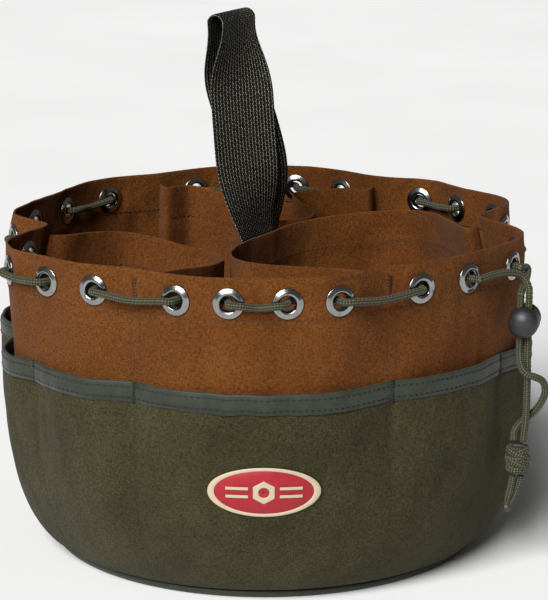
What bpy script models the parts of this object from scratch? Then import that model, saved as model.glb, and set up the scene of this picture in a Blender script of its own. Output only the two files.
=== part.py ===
"""Tool bucket organizer: a round canvas parts bag with a drawstring rim.

The origin is at the middle of the base, on the ground, with +Z up and the
badge on the front pocket facing -Y.  Azimuths are in degrees from the front
(-Y), positive towards +X.
"""

import math

import bmesh
import bpy
from mathutils import Matrix, Vector

MM = 0.001
UP = Vector((0.0, 0.0, 1.0))

# Bag body
HEIGHT = 184.0 * MM              # rim above the ground
WALL_RADIUS = 152.5 * MM         # middle of the canvas between the gathers, at the rim
WAIST_RADIUS = 149.5 * MM        # the same behind the pocket band
BASE_RADIUS = 118.6 * MM         # middle of the canvas at the base seam
KNEE_HEIGHT = 85.0 * MM          # where the wall starts to turn in to the base
WALL_THICKNESS = 1.2 * MM
HEM_THICKNESS = 1.8 * MM
HEM_DEPTH = 25.0 * MM
WALL_BOTTOM = 5.2 * MM
WALL_CENTRE = Vector((0.0, -1.0 * MM, 0.0))
ORIGIN_SHIFT = Vector((2.7 * MM, 1.0 * MM, 0.0))   # puts the middle of the bag on the origin
WALL_COLUMNS = 120
WALL_LEVELS = (WALL_BOTTOM, 14.0 * MM, 34.0 * MM, KNEE_HEIGHT, 123.0 * MM,
               HEIGHT - HEM_DEPTH, HEIGHT - HEM_DEPTH + 1.0 * MM, HEIGHT)
GAP = 0.3 * MM                   # running gap between touching pieces

# Where the dividers pull the wall in: azimuth, depth at the rim, half width in degrees
GATHERS = (
    ("left", -79.5, 28.0 * MM, 9.8),
    ("front_left", -27.0, 6.0 * MM, 8.0),
    ("front_right", 27.0, 8.0 * MM, 9.0),
    ("right", 90.0, 30.0 * MM, 11.5),
    ("back_right", 150.0, 17.0 * MM, 13.0),
    ("back_left", 208.0, 10.0 * MM, 11.0),
)
# Slack waves of the wall away from the dividers
WAVES = (
    ("front_left_swell", -59.0, -6.5 * MM, 10.0),
    ("front_right_slack", 46.0, 9.0 * MM, 16.0),
    ("back_right_slack", 124.0, 9.0 * MM, 10.0),
    ("back_left_slack", 246.0, 12.0 * MM, 20.0),
)

# Pocket band round the outside
BAND_HEIGHT = WALL_LEVELS[4]
BAND_THICKNESS = 0.8 * MM
BAND_STANDOFF = 2.9 * MM         # middle of the band from the middle of the wall at a seam
POCKET_BELLY = 4.0 * MM          # how much further it stands off in mid pocket
BINDING_DEPTH = 10.0 * MM
BINDING_THICKNESS = 0.6 * MM
PANEL_COLUMNS = 18
SEAM_GAP_DEG = 0.25              # half the gap between neighbouring band panels
POCKETS_PER_PANEL = {"front_left": 1, "left": 2, "front_right": 2, "right": 2, "back_right": 2,
                     "back_left": 2}

# Base
BASE_THICKNESS = 2.0 * MM
BASE_TAPE_INNER = 116.4 * MM
BASE_TAPE_OUTER = 123.4 * MM
BASE_TAPE_HEIGHT = 4.2 * MM

# Dividers: folded canvas petals whose noses meet under the handle
PETAL_THICKNESS = 1.2 * MM
PETAL_END_TOP = 178.0 * MM
PETAL_NOSE_TOP = 168.5 * MM
PETAL_BOTTOM = 6.2 * MM
PETAL_END_CLEARANCE = 2.8 * MM   # middle of a divider's end from the middle of the wall
PETAL_COLUMNS = 34
PETALS = {
    "divider_left": ("left", "front_left",
                     ((-97, -8), (-78, 2), (-60, -3), (-44, -14), (-30, -21), (-24, -33),
                      (-23, -50), (-30, -70), (-46, -98))),
    "divider_right": ("front_right", "right",
                      ((48, -106), (30, -97), (2, -80), (-13, -62), (-18, -38), (-15, -12),
                       (-7, 8), (3, 26), (12, 41), (24, 52), (46, 63), (78, 64), (98, 46))),
    "divider_back": ("back_right", "back_left",
                     ((48, 113), (30, 118), (17, 115), (20, 100), (28, 86), (28, 70),
                      (18, 60), (6, 60), (-4, 68), (-10, 84), (-17, 104), (-32, 118),
                      (-47, 124))),
}

# Grommets in the rim hem, four to a panel, at these shares of the way along it
GROMMET_SHARES = {"left": (0.13, 0.36, 0.60, 0.83), "front_left": (0.18, 0.375, 0.585, 0.775),
                  "front_right": (0.12, 0.34, 0.58, 0.80), "right": (0.18, 0.39, 0.60, 0.81),
                  "back_right": (0.18, 0.39, 0.62, 0.82), "back_left": (0.18, 0.40, 0.62, 0.84)}
GROMMETS_PER_PANEL = 4
GROMMET_DROP = 13.5 * MM         # below the rim
GROMMET_HOLE_RADIUS = 4.1 * MM
GROMMET_BARREL_RADIUS = 4.9 * MM
GROMMET_FLANGE_RADIUS = 8.2 * MM
GROMMET_FLANGE_THICKNESS = 0.8 * MM
GROMMET_SEAT = 2.3 * MM          # inner side of the flange from the middle of the hem
GROMMET_SEGMENTS = 8

# Drawstring
CORD_RADIUS = 2.0 * MM
CORD_SIDES_LEVEL = 2             # curve bevel resolution: eight sides
LACE_MOUTH = (1.4 * MM, 4.8 * MM)    # along and off the wall, just outside a grommet's hole
LACE_SHOULDER = (7.0 * MM, 6.4 * MM)
LACE_SAG = 1.5 * MM
END_GROMMETS = (("front_right", 1), ("front_right", 2))   # where the free ends come out

# Route of the free ends below their grommets, in millimetres
LEFT_END_ROUTE = ((124.0, -92.0, 171.6), (132.5, -86.5, 171.0), (139.0, -83.5, 168.0),
                  (142.0, -86.2, 163.0), (142.15, -88.0, 158.5), (142.15, -88.0, 154.0),
                  (142.15, -88.0, 144.0), (142.15, -88.0, 132.0), (142.15, -88.0, 124.0),
                  (142.4, -88.1, 114.0),
                  (142.4, -88.2, 100.0), (142.0, -88.2, 88.0), (141.0, -88.0, 77.0))
RIGHT_END_ROUTE = ((143.4, -64.5, 168.6), (142.6, -71.5, 165.6), (140.2, -79.5, 162.6),
                   (138.1, -86.4, 160.0), (137.85, -87.0, 156.5), (137.85, -87.0, 152.0),
                   (137.85, -87.0, 142.0), (137.85, -87.0, 132.0), (137.85, -87.0, 127.0),
                   (138.4, -90.6, 120.6),
                   (141.2, -93.6, 116.6), (146.2, -93.8, 114.8), (150.6, -91.6, 111.6),
                   (152.0, -89.6, 105.0), (149.6, -86.8, 97.4), (145.4, -83.8, 91.0),
                   (140.2, -82.8, 86.2), (136.6, -84.4, 81.8), (136.0, -86.6, 77.0))
END_SPACING = 6.0 * MM           # between the points of a free end's tube

KNOT_CENTRE = Vector((138.5, -87.3, 66.2)) * MM
KNOT_RADII = Vector((7.6, 6.8, 10.2)) * MM
TAIL_ROUTES = (((136.0, -87.8, 55.2), (134.2, -88.2, 47.0), (131.0, -88.0, 38.5)),
               ((140.4, -87.0, 55.2), (138.6, -86.6, 47.0), (135.4, -86.2, 38.5)))

# Cord lock: the button's axis is level, the cords pass straight down through it
LOCK_CENTRE = Vector((140.0, -87.5, 144.5)) * MM
LOCK_TURN = -13.9                # degrees about +Z, of the axis from -Y
LOCK_RADIUS = 8.3 * MM
LOCK_BACK = -3.4 * MM            # along the axis, positive to the front
LOCK_FRONT = 10.6 * MM
LOCK_BORE_RADIUS = 5.9 * MM
LOCK_BORE_END = 8.9 * MM
LOCK_SLOT = (9.6 * MM, 4.9 * MM) # across the axis, along the axis
LOCK_SLOT_CORNER = 1.4 * MM
LOCK_DOME = 6.8 * MM             # depth of the rounded front
LOCK_EDGE = 0.8 * MM             # chamfer round the back of the body
BUTTON_STEM_RADIUS = 5.55 * MM
BUTTON_STEM_FRONT = 4.2 * MM
BUTTON_SLOT = (-5.5 * MM, 2.35 * MM)
BUTTON_HEAD_RADIUS = 7.8 * MM
BUTTON_HEAD = (-10.9 * MM, -6.9 * MM)
BUTTON_EDGE = 0.7 * MM
SPRING_WIRE_RADIUS = 0.3 * MM
SPRING_RADIUS = 3.6 * MM
SPRING_TURNS = 2.5

# Webbing handle
HANDLE_WIDTH = 38.0 * MM
HANDLE_THICKNESS = 1.8 * MM
HANDLE_TURN = 62.0               # degrees from +X of the strap's width
HANDLE_TOP = 298.0 * MM
HANDLE_BOTTOM = 181.5 * MM       # the moving loop starts here
HANDLE_FOOT_TOP = 178.0 * MM
HANDLE_FOOT_BOTTOM = 140.0 * MM
NEAR_FOOT = Vector((-4.4, 22.6, 0.0)) * MM
FAR_FOOT_OFFSET = (10.0 * MM, 2.4 * MM)   # along the width, and behind the near foot
HANDLE_SPREAD = 15.0 * MM        # between the legs at the top
HANDLE_LEAN = Vector((-5.0, 0.0, 0.0)) * MM       # of the near leg's top from its foot
HANDLE_COLUMNS = 26

# Oval badge on the front pocket
BADGE_SIZE = (58.5 * MM, 27.5 * MM)
BADGE_HEIGHT = 71.0 * MM
BADGE_THICKNESS = 0.8 * MM


def clear_scene():
    for scene_object in list(bpy.data.objects):
        bpy.data.objects.remove(scene_object, do_unlink=True)


def new_collection(name):
    collection = bpy.data.collections.new(name)
    bpy.context.scene.collection.children.link(collection)
    return collection


def make_material(name, colour, roughness, metallic=0.0):
    material = bpy.data.materials.new(name)
    material.use_nodes = True
    shader = material.node_tree.nodes["Principled BSDF"]
    shader.inputs["Base Color"].default_value = (*colour, 1.0)
    shader.inputs["Roughness"].default_value = roughness
    shader.inputs["Metallic"].default_value = metallic
    return material


clear_scene()
PARTS = new_collection("tool_bucket_organizer")
CUTTERS = new_collection("cutters")
ROOT = bpy.data.objects.new("organizer", None)
ROOT.location = ORIGIN_SHIFT
PARTS.objects.link(ROOT)

CANVAS = make_material("brown_duck", (0.30, 0.135, 0.048), 0.95)
RIPSTOP = make_material("olive_ripstop", (0.075, 0.063, 0.035), 0.9)
TAPE = make_material("green_tape", (0.035, 0.045, 0.028), 0.7)
NICKEL = make_material("nickel", (0.55, 0.56, 0.55), 0.3, 1.0)
PARACORD = make_material("olive_paracord", (0.06, 0.065, 0.03), 0.85)
BLACK_PLASTIC = make_material("black_plastic", (0.02, 0.02, 0.022), 0.45)
STEEL = make_material("spring_steel", (0.5, 0.5, 0.5), 0.35, 1.0)
WEBBING = make_material("webbing", (0.055, 0.055, 0.04), 0.85)
BADGE = make_material("badge", (0.45, 0.02, 0.03), 0.5)


def add_object(name, data, material, parent=ROOT, collection=PARTS):
    new_object = bpy.data.objects.new(name, data)
    collection.objects.link(new_object)
    if parent is not None:
        new_object.parent = parent
    data.materials.clear()
    if material is not None:
        data.materials.append(material)
    return new_object


def mesh_from_bmesh(name, shape):
    mesh = bpy.data.meshes.new(name)
    shape.to_mesh(mesh)
    shape.free()
    return mesh


def shade(part, angle=35.0):
    part.data.shade_smooth()
    part.data.set_sharp_from_angle(angle=math.radians(angle))


def grid_sheet(name, columns, rows, place, material, thickness, ring=False):
    """A sheet of fabric: a grid laid out by place(across, up), then thickened."""
    shape = bmesh.new()
    bmesh.ops.create_grid(shape, x_segments=columns, y_segments=rows, size=0.5)
    for vertex in shape.verts:
        vertex.co = place(vertex.co.x + 0.5, vertex.co.y + 0.5)
    if ring:
        bmesh.ops.remove_doubles(shape, verts=shape.verts, dist=0.01 * MM)
    sheet = add_object(name, mesh_from_bmesh(name, shape), material)
    solidify = sheet.modifiers.new("thickness", "SOLIDIFY")
    solidify.thickness = thickness
    solidify.offset = 0.0
    shade(sheet)
    return sheet


def turned(name, profile, segments, material, matrix, closed=True):
    """A (radius, height) profile turned about Z, then placed by matrix.

    The profile runs down its outer side.  A closed one is a ring's section, an
    open one starts and ends on the axis.
    """
    shape = bmesh.new()
    ring = [shape.verts.new((radius, 0.0, height)) for radius, height in profile]
    following = ring[1:] + ring[:1] if closed else ring[1:]
    for start, end in zip(ring, following):
        shape.edges.new((start, end))
    piece = add_object(name, mesh_from_bmesh(name, shape), material)
    screw = piece.modifiers.new("turn", "SCREW")
    screw.axis = "Z"
    screw.steps = segments
    screw.render_steps = segments
    screw.use_merge_vertices = True
    screw.merge_threshold = 0.00001
    piece.matrix_basis = matrix
    shade(piece)
    return piece


def tube(name, points, radius, material, parent=ROOT):
    curve = bpy.data.curves.new(name, "CURVE")
    curve.dimensions = "3D"
    curve.bevel_depth = radius
    curve.bevel_resolution = CORD_SIDES_LEVEL
    curve.use_fill_caps = True
    spline = curve.splines.new("POLY")
    spline.points.add(len(points) - 1)
    for spline_point, point in zip(spline.points, points):
        spline_point.co = (*point, 1.0)
    return add_object(name, curve, material, parent)


def cutter(name, mesh):
    tool = add_object(name, mesh, None, ROOT, CUTTERS)
    tool.hide_render = True
    tool.display_type = "WIRE"
    return tool


def cut(part, tool, operation="DIFFERENCE"):
    boolean = part.modifiers.new(tool.name, "BOOLEAN")
    boolean.operation = operation
    boolean.solver = "EXACT"
    boolean.object = tool


def ease(value):
    value = min(1.0, max(0.0, value))
    return value * value * (3.0 - 2.0 * value)


def smooth_curve(points, samples_per_span=16):
    """A Catmull-Rom curve through the points, finely sampled."""
    padded = [2 * points[0] - points[1], *points, 2 * points[-1] - points[-2]]
    curve = []
    for before, start, end, after in zip(padded, padded[1:], padded[2:], padded[3:]):
        for step in range(samples_per_span):
            t = step / samples_per_span
            curve.append(0.5 * (2 * start + (end - before) * t
                                + (2 * before - 5 * start + 4 * end - after) * t ** 2
                                + (3 * start - before - 3 * end + after) * t ** 3))
    return curve + [points[-1]]


def resample(curve, count):
    """The curve's points at equal steps of length, count steps in all."""
    lengths = [0.0]
    for start, end in zip(curve, curve[1:]):
        lengths.append(lengths[-1] + (end - start).length)
    samples = []
    index = 0
    for step in range(count + 1):
        target = lengths[-1] * step / count
        while index < len(curve) - 2 and lengths[index + 1] < target:
            index += 1
        span = lengths[index + 1] - lengths[index]
        samples.append(curve[index].lerp(curve[index + 1], (target - lengths[index]) / span))
    return samples


def outward(azimuth):
    angle = math.radians(azimuth)
    return Vector((math.sin(angle), -math.cos(angle), 0.0))


def azimuth_difference(first, second):
    return (first - second + 180.0) % 360.0 - 180.0


def wall_radius(azimuth, height):
    """Radius of the middle of the canvas wall."""
    if height < KNEE_HEIGHT:
        drop = (KNEE_HEIGHT - max(height, WALL_BOTTOM)) / (KNEE_HEIGHT - WALL_BOTTOM)
        radius = BASE_RADIUS + (WAIST_RADIUS - BASE_RADIUS) * math.sqrt(1.0 - drop * drop)
    else:
        rise = (height - KNEE_HEIGHT) / (HEIGHT - KNEE_HEIGHT)
        radius = WAIST_RADIUS + (WALL_RADIUS - WAIST_RADIUS) * ease(rise)
    fade = (height / HEIGHT) ** 1.6
    for _, centre, depth, half_width in GATHERS + WAVES:
        offset = azimuth_difference(azimuth, centre) / half_width
        radius -= depth * fade * math.exp(-offset * offset)
    return radius


def faceted_radius(azimuth, height):
    """Radius of the wall as built, straight between its levels."""
    below = max(level for level in WALL_LEVELS[:-1] if level <= height)
    above = WALL_LEVELS[WALL_LEVELS.index(below) + 1]
    share = (height - below) / (above - below)
    return (1.0 - share) * wall_radius(azimuth, below) + share * wall_radius(azimuth, above)


def wall_point(azimuth, height, offset=0.0):
    return WALL_CENTRE + outward(azimuth) * (wall_radius(azimuth, height) + offset) + UP * height


def wall_frame(azimuth, height):
    """A place on the wall with its along and outward directions, over a grommet's width."""
    step = math.degrees(GROMMET_FLANGE_RADIUS / WALL_RADIUS)
    left = wall_point(azimuth - step, height)
    right = wall_point(azimuth + step, height)
    along = (right - left).normalized()
    place = (wall_point(azimuth, height) + (left + right) / 2) / 2
    return place, along, along.cross(UP)


def panel_span(index):
    """Name of the gather that a panel starts at, and its two azimuths."""
    name, start = GATHERS[index][:2]
    end = GATHERS[(index + 1) % len(GATHERS)][1]
    if end <= start:
        end += 360.0
    return name, start, end


def grommet_azimuths(index):
    name, start, end = panel_span(index)
    return [start + (end - start) * share for share in GROMMET_SHARES[name]]


# ---- Bag body ----

def make_outer_wall():
    rows = len(WALL_LEVELS) - 1
    wall = grid_sheet("outer_wall", WALL_COLUMNS, rows,
                      lambda across, up: wall_point(180.0 + 360.0 * across,
                                                    WALL_LEVELS[round(up * rows)]),
                      CANVAS, HEM_THICKNESS, ring=True)
    hem = wall.vertex_groups.new(name="hem")
    hem.add([vertex.index for vertex in wall.data.vertices
             if vertex.co.z > HEIGHT - HEM_DEPTH + 0.5 * MM], 1.0, "REPLACE")
    wall.modifiers["thickness"].vertex_group = "hem"
    wall.modifiers["thickness"].thickness_vertex_group = WALL_THICKNESS / HEM_THICKNESS
    holes = bmesh.new()
    for index in range(len(GATHERS)):
        for azimuth in grommet_azimuths(index):
            bmesh.ops.create_cone(holes, cap_ends=True, segments=GROMMET_SEGMENTS,
                                  radius1=GROMMET_BARREL_RADIUS + GAP,
                                  radius2=GROMMET_BARREL_RADIUS + GAP, depth=8 * MM,
                                  matrix=grommet_matrix(azimuth))
    cut(wall, cutter("grommet_holes", mesh_from_bmesh("grommet_holes", holes)))


def band_offset(share, height, pockets):
    """Middle of the pocket band from the middle of the wall."""
    fullness = math.sin(math.pi * (share * pockets % 1.0)) ** 2
    rise = ease(height / (0.8 * BAND_HEIGHT))
    return BAND_STANDOFF + POCKET_BELLY * fullness * rise


def panel_azimuth(index, share):
    """The panel's name and an azimuth on it, between the seams at its ends."""
    name, start, end = panel_span(index)
    return name, start + SEAM_GAP_DEG + (end - start - 2 * SEAM_GAP_DEG) * share


def make_pocket_panels():
    rows = WALL_LEVELS.index(BAND_HEIGHT)
    for index in range(len(GATHERS)):

        def place(across, up, index=index):
            height = WALL_LEVELS[round(up * rows)]
            name, azimuth = panel_azimuth(index, across)
            return wall_point(azimuth, height,
                              band_offset(across, height, POCKETS_PER_PANEL[name]))

        grid_sheet("pocket_panel_" + str(index + 1), PANEL_COLUMNS, rows, place, RIPSTOP,
                   BAND_THICKNESS)


def make_pocket_binding():
    """Tape folded over the top edge of the pocket band, all the way round."""
    half_width = BAND_THICKNESS / 2 + 2 * GAP + BINDING_THICKNESS / 2
    fold = ((half_width, -BINDING_DEPTH), (half_width, GAP + BINDING_THICKNESS / 2),
            (-half_width, GAP + BINDING_THICKNESS / 2), (-half_width, -BINDING_DEPTH))

    columns = len(GATHERS) * (PANEL_COLUMNS + 1)

    def place(across, up):
        panel, column = divmod(round(across * columns) % columns, PANEL_COLUMNS + 1)
        name, azimuth = panel_azimuth(panel, column / PANEL_COLUMNS)
        offset, rise = fold[round(up * 3)]
        standoff = band_offset(column / PANEL_COLUMNS, BAND_HEIGHT, POCKETS_PER_PANEL[name])
        return wall_point(azimuth, BAND_HEIGHT + rise, standoff + offset)

    grid_sheet("pocket_binding", columns, 3, place, TAPE, BINDING_THICKNESS, ring=True)


def make_base():
    shape = bmesh.new()
    bmesh.ops.create_cone(shape, cap_ends=True, segments=60,
                          radius1=BASE_TAPE_INNER - GAP, radius2=BASE_TAPE_INNER - GAP,
                          depth=BASE_THICKNESS,
                          matrix=Matrix.Translation(WALL_CENTRE + UP * BASE_THICKNESS / 2))
    panel = add_object("base_panel", mesh_from_bmesh("base_panel", shape), CANVAS)
    shade(panel)
    chamfer = 1.2 * MM
    profile = [(BASE_TAPE_INNER, 0.0), (BASE_TAPE_OUTER - chamfer, 0.0),
               (BASE_TAPE_OUTER, chamfer), (BASE_TAPE_OUTER, BASE_TAPE_HEIGHT),
               (BASE_TAPE_INNER, BASE_TAPE_HEIGHT)]
    turned("base_binding", profile[::-1], 60, TAPE, Matrix.Translation(WALL_CENTRE))


# ---- Dividers ----

def make_divider(name):
    first, second, middle = PETALS[name]
    azimuths = {gather[0]: gather[1] for gather in GATHERS}
    ends = [wall_point(azimuths[end], HEIGHT, -PETAL_END_CLEARANCE) for end in (first, second)]
    seams = [WALL_CENTRE + (end - WALL_CENTRE) * 0.93 for end in ends]
    for seam in seams:
        seam.z = HEIGHT
    route = [ends[0], seams[0], *[Vector((x * MM, y * MM, HEIGHT)) for x, y in middle],
             seams[1], ends[1]]
    path = resample(smooth_curve(route), PETAL_COLUMNS)

    def place(across, up):
        point = path[round(across * PETAL_COLUMNS)]
        towards_end = abs(2.0 * across - 1.0)
        top = PETAL_NOSE_TOP + (PETAL_END_TOP - PETAL_NOSE_TOP) * ease(towards_end)
        height = (PETAL_BOTTOM, *WALL_LEVELS[1:5], top)[round(up * 5)]
        shrink = []
        for gather, end in zip((first, second), ends):
            radius = faceted_radius(azimuths[gather], height) - PETAL_END_CLEARANCE
            shrink.append(radius / (end - WALL_CENTRE).xy.length)
        scale = shrink[0] + (shrink[1] - shrink[0]) * across
        flat = WALL_CENTRE + (point - WALL_CENTRE) * scale
        return Vector((flat.x, flat.y, height))

    grid_sheet(name, PETAL_COLUMNS, 5, place, CANVAS, PETAL_THICKNESS)


# ---- Grommets and drawstring ----

def grommet_matrix(azimuth):
    """Places a grommet: its Z along the wall's outward normal."""
    place, along, normal = wall_frame(azimuth, HEIGHT - GROMMET_DROP)
    turn = Matrix((along, UP, normal)).transposed().to_4x4()
    return Matrix.Translation(place) @ turn


def make_grommets():
    face = GROMMET_SEAT + GROMMET_FLANGE_THICKNESS
    half = [(GROMMET_HOLE_RADIUS, face), (GROMMET_FLANGE_RADIUS, face),
            (GROMMET_FLANGE_RADIUS, GROMMET_SEAT), (GROMMET_BARREL_RADIUS, GROMMET_SEAT)]
    profile = half + [(radius, -height) for radius, height in reversed(half)]
    number = 0
    for index in range(len(GATHERS)):
        for azimuth in grommet_azimuths(index):
            number += 1
            turned("grommet_" + str(number), profile, GROMMET_SEGMENTS, NICKEL,
                   grommet_matrix(azimuth))


def lace_points(azimuth, from_side, to_side):
    """Points through one grommet, going towards smaller azimuths."""
    place, along, normal = wall_frame(azimuth, HEIGHT - GROMMET_DROP)
    heading = -along
    points = []
    for (run, rise), sense, side in ((LACE_SHOULDER, -1, from_side), (LACE_MOUTH, -1, from_side),
                                     ((0.0, 0.0), 1, 1), (LACE_MOUTH, 1, to_side),
                                     (LACE_SHOULDER, 1, to_side)):
        points.append(place + heading * run * sense + normal * rise * side)
    return points


def make_drawstring():
    """The laced part, from the inside of one end grommet to the inside of the other."""
    order = []
    start = [gather[0] for gather in GATHERS].index(END_GROMMETS[0][0])
    for step in range(len(GATHERS) + 1):
        index = (start - step) % len(GATHERS)
        order += reversed(grommet_azimuths(index))
    order = order[GROMMETS_PER_PANEL - 1 - END_GROMMETS[0][1]:]
    order = order[:len(GATHERS) * GROMMETS_PER_PANEL]
    points = []
    side = 1
    for azimuth in order:
        through = lace_points(azimuth, side, -side)
        if points:
            middle = (points[-1] + through[0]) / 2
            middle.z -= LACE_SAG
            points.append(middle)
        points += through
        side = -side
    tube("drawstring", points[1:-1], CORD_RADIUS, PARACORD)
    return (points[1], points[1] - points[2]), (points[-2], points[-2] - points[-3])


def route_points(start, direction, route):
    """The route's smooth curve, which leaves its grommet straight."""
    bend = start + direction * CORD_RADIUS
    fine = smooth_curve([bend, *[Vector(point) * MM for point in route]])
    length = sum((end - begin).length for begin, end in zip(fine, fine[1:]))
    return [start, *resample(fine, round(length / END_SPACING))]


def make_free_ends(left_mouth, right_mouth):
    for name, (mouth, direction), route in (("cord_end_left", left_mouth, LEFT_END_ROUTE),
                                            ("cord_end_right", right_mouth, RIGHT_END_ROUTE)):
        direction.normalize()
        start = mouth + direction * GAP
        tube(name, route_points(start, direction, route), CORD_RADIUS, PARACORD)


def make_knot():
    shape = bmesh.new()
    bmesh.ops.create_uvsphere(shape, u_segments=16, v_segments=10, radius=1.0,
                              matrix=Matrix.Translation(KNOT_CENTRE)
                              @ Matrix.Diagonal((*KNOT_RADII, 1.0)))
    shade(add_object("cord_knot", mesh_from_bmesh("cord_knot", shape), PARACORD), 60.0)
    for side, route in zip(("left", "right"), TAIL_ROUTES):
        points = [Vector(point) * MM for point in route]
        tube("cord_tail_" + side, resample(smooth_curve(points), 4), CORD_RADIUS, PARACORD)


# ---- Cord lock ----

def lock_matrix():
    """Local Z runs along the lock's axis to the front, local Y is up."""
    front = Matrix.Rotation(math.radians(LOCK_TURN), 3, "Z") @ Vector((0.0, -1.0, 0.0))
    turn = Matrix((UP.cross(front), UP, front)).transposed().to_4x4()
    return Matrix.Translation(LOCK_CENTRE) @ turn


def slot_cutter(name, width, back, front):
    """A stadium slot through the lock from top to bottom."""
    shape = bmesh.new()
    bmesh.ops.create_cube(shape, size=1.0)
    for vertex in shape.verts:
        vertex.co = Vector((vertex.co.x * width, vertex.co.y * 4 * LOCK_RADIUS,
                            (back + front) / 2 + vertex.co.z * (front - back)))
    shape.transform(lock_matrix())
    upright = [edge for edge in shape.edges
               if abs((edge.verts[0].co - edge.verts[1].co).z) > 2 * LOCK_RADIUS]
    bmesh.ops.bevel(shape, geom=upright, offset=LOCK_SLOT_CORNER, segments=3, profile=0.5,
                    affect="EDGES")
    return cutter(name, mesh_from_bmesh(name, shape))


def make_cord_lock():
    shoulder = LOCK_FRONT - LOCK_DOME
    outer = [(LOCK_RADIUS - LOCK_EDGE, LOCK_BACK), (LOCK_RADIUS, LOCK_BACK + LOCK_EDGE),
             (LOCK_RADIUS, shoulder)]
    for step in range(1, 5):
        angle = math.radians(90.0 * step / 5)
        outer.append((LOCK_RADIUS * math.cos(angle), shoulder + LOCK_DOME * math.sin(angle)))
    profile = [(0.0, LOCK_FRONT), *reversed(outer),
               (LOCK_BORE_RADIUS, LOCK_BACK), (LOCK_BORE_RADIUS, LOCK_BORE_END),
               (0.0, LOCK_BORE_END)]
    body = turned("lock_body", profile, 20, BLACK_PLASTIC, lock_matrix(), closed=False)
    cut(body, slot_cutter("body_slot", LOCK_SLOT[0], -LOCK_SLOT[1] / 2, LOCK_SLOT[1] / 2))
    back, front = BUTTON_HEAD
    head = [(0.0, BUTTON_STEM_FRONT), (BUTTON_STEM_RADIUS, BUTTON_STEM_FRONT),
            (BUTTON_STEM_RADIUS, front), (BUTTON_HEAD_RADIUS - BUTTON_EDGE, front),
            (BUTTON_HEAD_RADIUS, front - BUTTON_EDGE),
            (BUTTON_HEAD_RADIUS - BUTTON_EDGE, back + 2 * BUTTON_EDGE),
            (BUTTON_HEAD_RADIUS / 2, back + BUTTON_EDGE / 3), (0.0, back)]
    button = turned("lock_button", head, 20, BLACK_PLASTIC, lock_matrix(), closed=False)
    cut(button, slot_cutter("button_slot", LOCK_SLOT[0], *BUTTON_SLOT))
    make_lock_spring()


def make_lock_spring():
    start = BUTTON_STEM_FRONT + GAP + SPRING_WIRE_RADIUS
    end = LOCK_BORE_END - GAP - SPRING_WIRE_RADIUS
    points = []
    steps = round(SPRING_TURNS * 10)
    for step in range(steps + 1):
        angle = 2 * math.pi * SPRING_TURNS * step / steps
        points.append(lock_matrix() @ Vector((SPRING_RADIUS * math.cos(angle),
                                              SPRING_RADIUS * math.sin(angle),
                                              start + (end - start) * step / steps)))
    tube("lock_spring", points, SPRING_WIRE_RADIUS, STEEL)


# ---- Handle ----

def handle_directions():
    angle = math.radians(HANDLE_TURN)
    width = Vector((math.cos(angle), math.sin(angle), 0.0))
    behind = Vector((-math.sin(angle), math.cos(angle), 0.0))
    return width, behind


def handle_feet():
    width, behind = handle_directions()
    far = NEAR_FOOT + width * FAR_FOOT_OFFSET[0] + behind * FAR_FOOT_OFFSET[1]
    return NEAR_FOOT, far


def strap(name, path, rows=2):
    """Webbing whose middle line follows the path, its width level."""
    width, _ = handle_directions()
    columns = len(path) - 1

    def place(across, up):
        return path[round(across * columns)] + width * HANDLE_WIDTH * (up - 0.5)

    return grid_sheet(name, columns, rows, place, WEBBING, HANDLE_THICKNESS)


def make_handle():
    near, far = handle_feet()
    for name, foot in (("handle_foot_near", near), ("handle_foot_far", far)):
        strap(name, [foot + UP * HANDLE_FOOT_BOTTOM, foot + UP * HANDLE_FOOT_TOP])
    _, behind = handle_directions()
    height = HANDLE_TOP - HANDLE_BOTTOM
    turn = HANDLE_SPREAD / 2
    near_top = near + HANDLE_LEAN
    far_top = near_top + behind * HANDLE_SPREAD
    route = [near + UP * HANDLE_BOTTOM]
    for share in (0.3, 0.62, 0.84):
        route.append(near.lerp(near_top, share) + UP * (HANDLE_BOTTOM + height * share))
    crown = (near_top + far_top) / 2 + UP * (HANDLE_TOP - HANDLE_THICKNESS / 2 - turn)
    for step in range(7):
        angle = math.pi * step / 6
        route.append(crown - behind * turn * math.cos(angle) + UP * turn * math.sin(angle))
    for share in (0.84, 0.62, 0.3, 0.0):
        route.append(far.lerp(far_top, ease(share)) + UP * (HANDLE_BOTTOM + height * share))
    strap("handle_loop", resample(smooth_curve(route), HANDLE_COLUMNS))


# ---- Badge ----

def make_badge():
    """A thin oval that lies on the curved front pocket."""
    name, start, end = panel_span(1)

    def place(across, up):
        x = 2.0 * across - 1.0
        z = 2.0 * up - 1.0
        side = x * math.sqrt(1.0 - z * z / 2.0) * BADGE_SIZE[0] / 2
        height = BADGE_HEIGHT + z * math.sqrt(1.0 - x * x / 2.0) * BADGE_SIZE[1] / 2
        azimuth = math.degrees(side / WAIST_RADIUS)
        share = (azimuth - start) / (end - start)
        standoff = band_offset(share, height, POCKETS_PER_PANEL[name])
        clear = BAND_THICKNESS / 2 + 2.4 * GAP + BADGE_THICKNESS / 2
        return wall_point(azimuth, height, standoff + clear)

    grid_sheet("badge", 12, 6, place, BADGE, BADGE_THICKNESS)


make_outer_wall()
make_pocket_panels()
make_pocket_binding()
make_base()
for divider in PETALS:
    make_divider(divider)
make_grommets()
make_free_ends(*make_drawstring())
make_knot()
make_cord_lock()
make_handle()
make_badge()
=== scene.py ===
"""Looks of the tool bucket organizer: its cloth, cord, webbing and fittings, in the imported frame.

Places on the bag are given by azimuth (degrees from the front, -Y, positive
towards +X) and height.  Sizes are in metres, or in millimetres times MM.
"""

import math

import bmesh
import bpy
from mathutils import Matrix, Vector, noise


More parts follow.
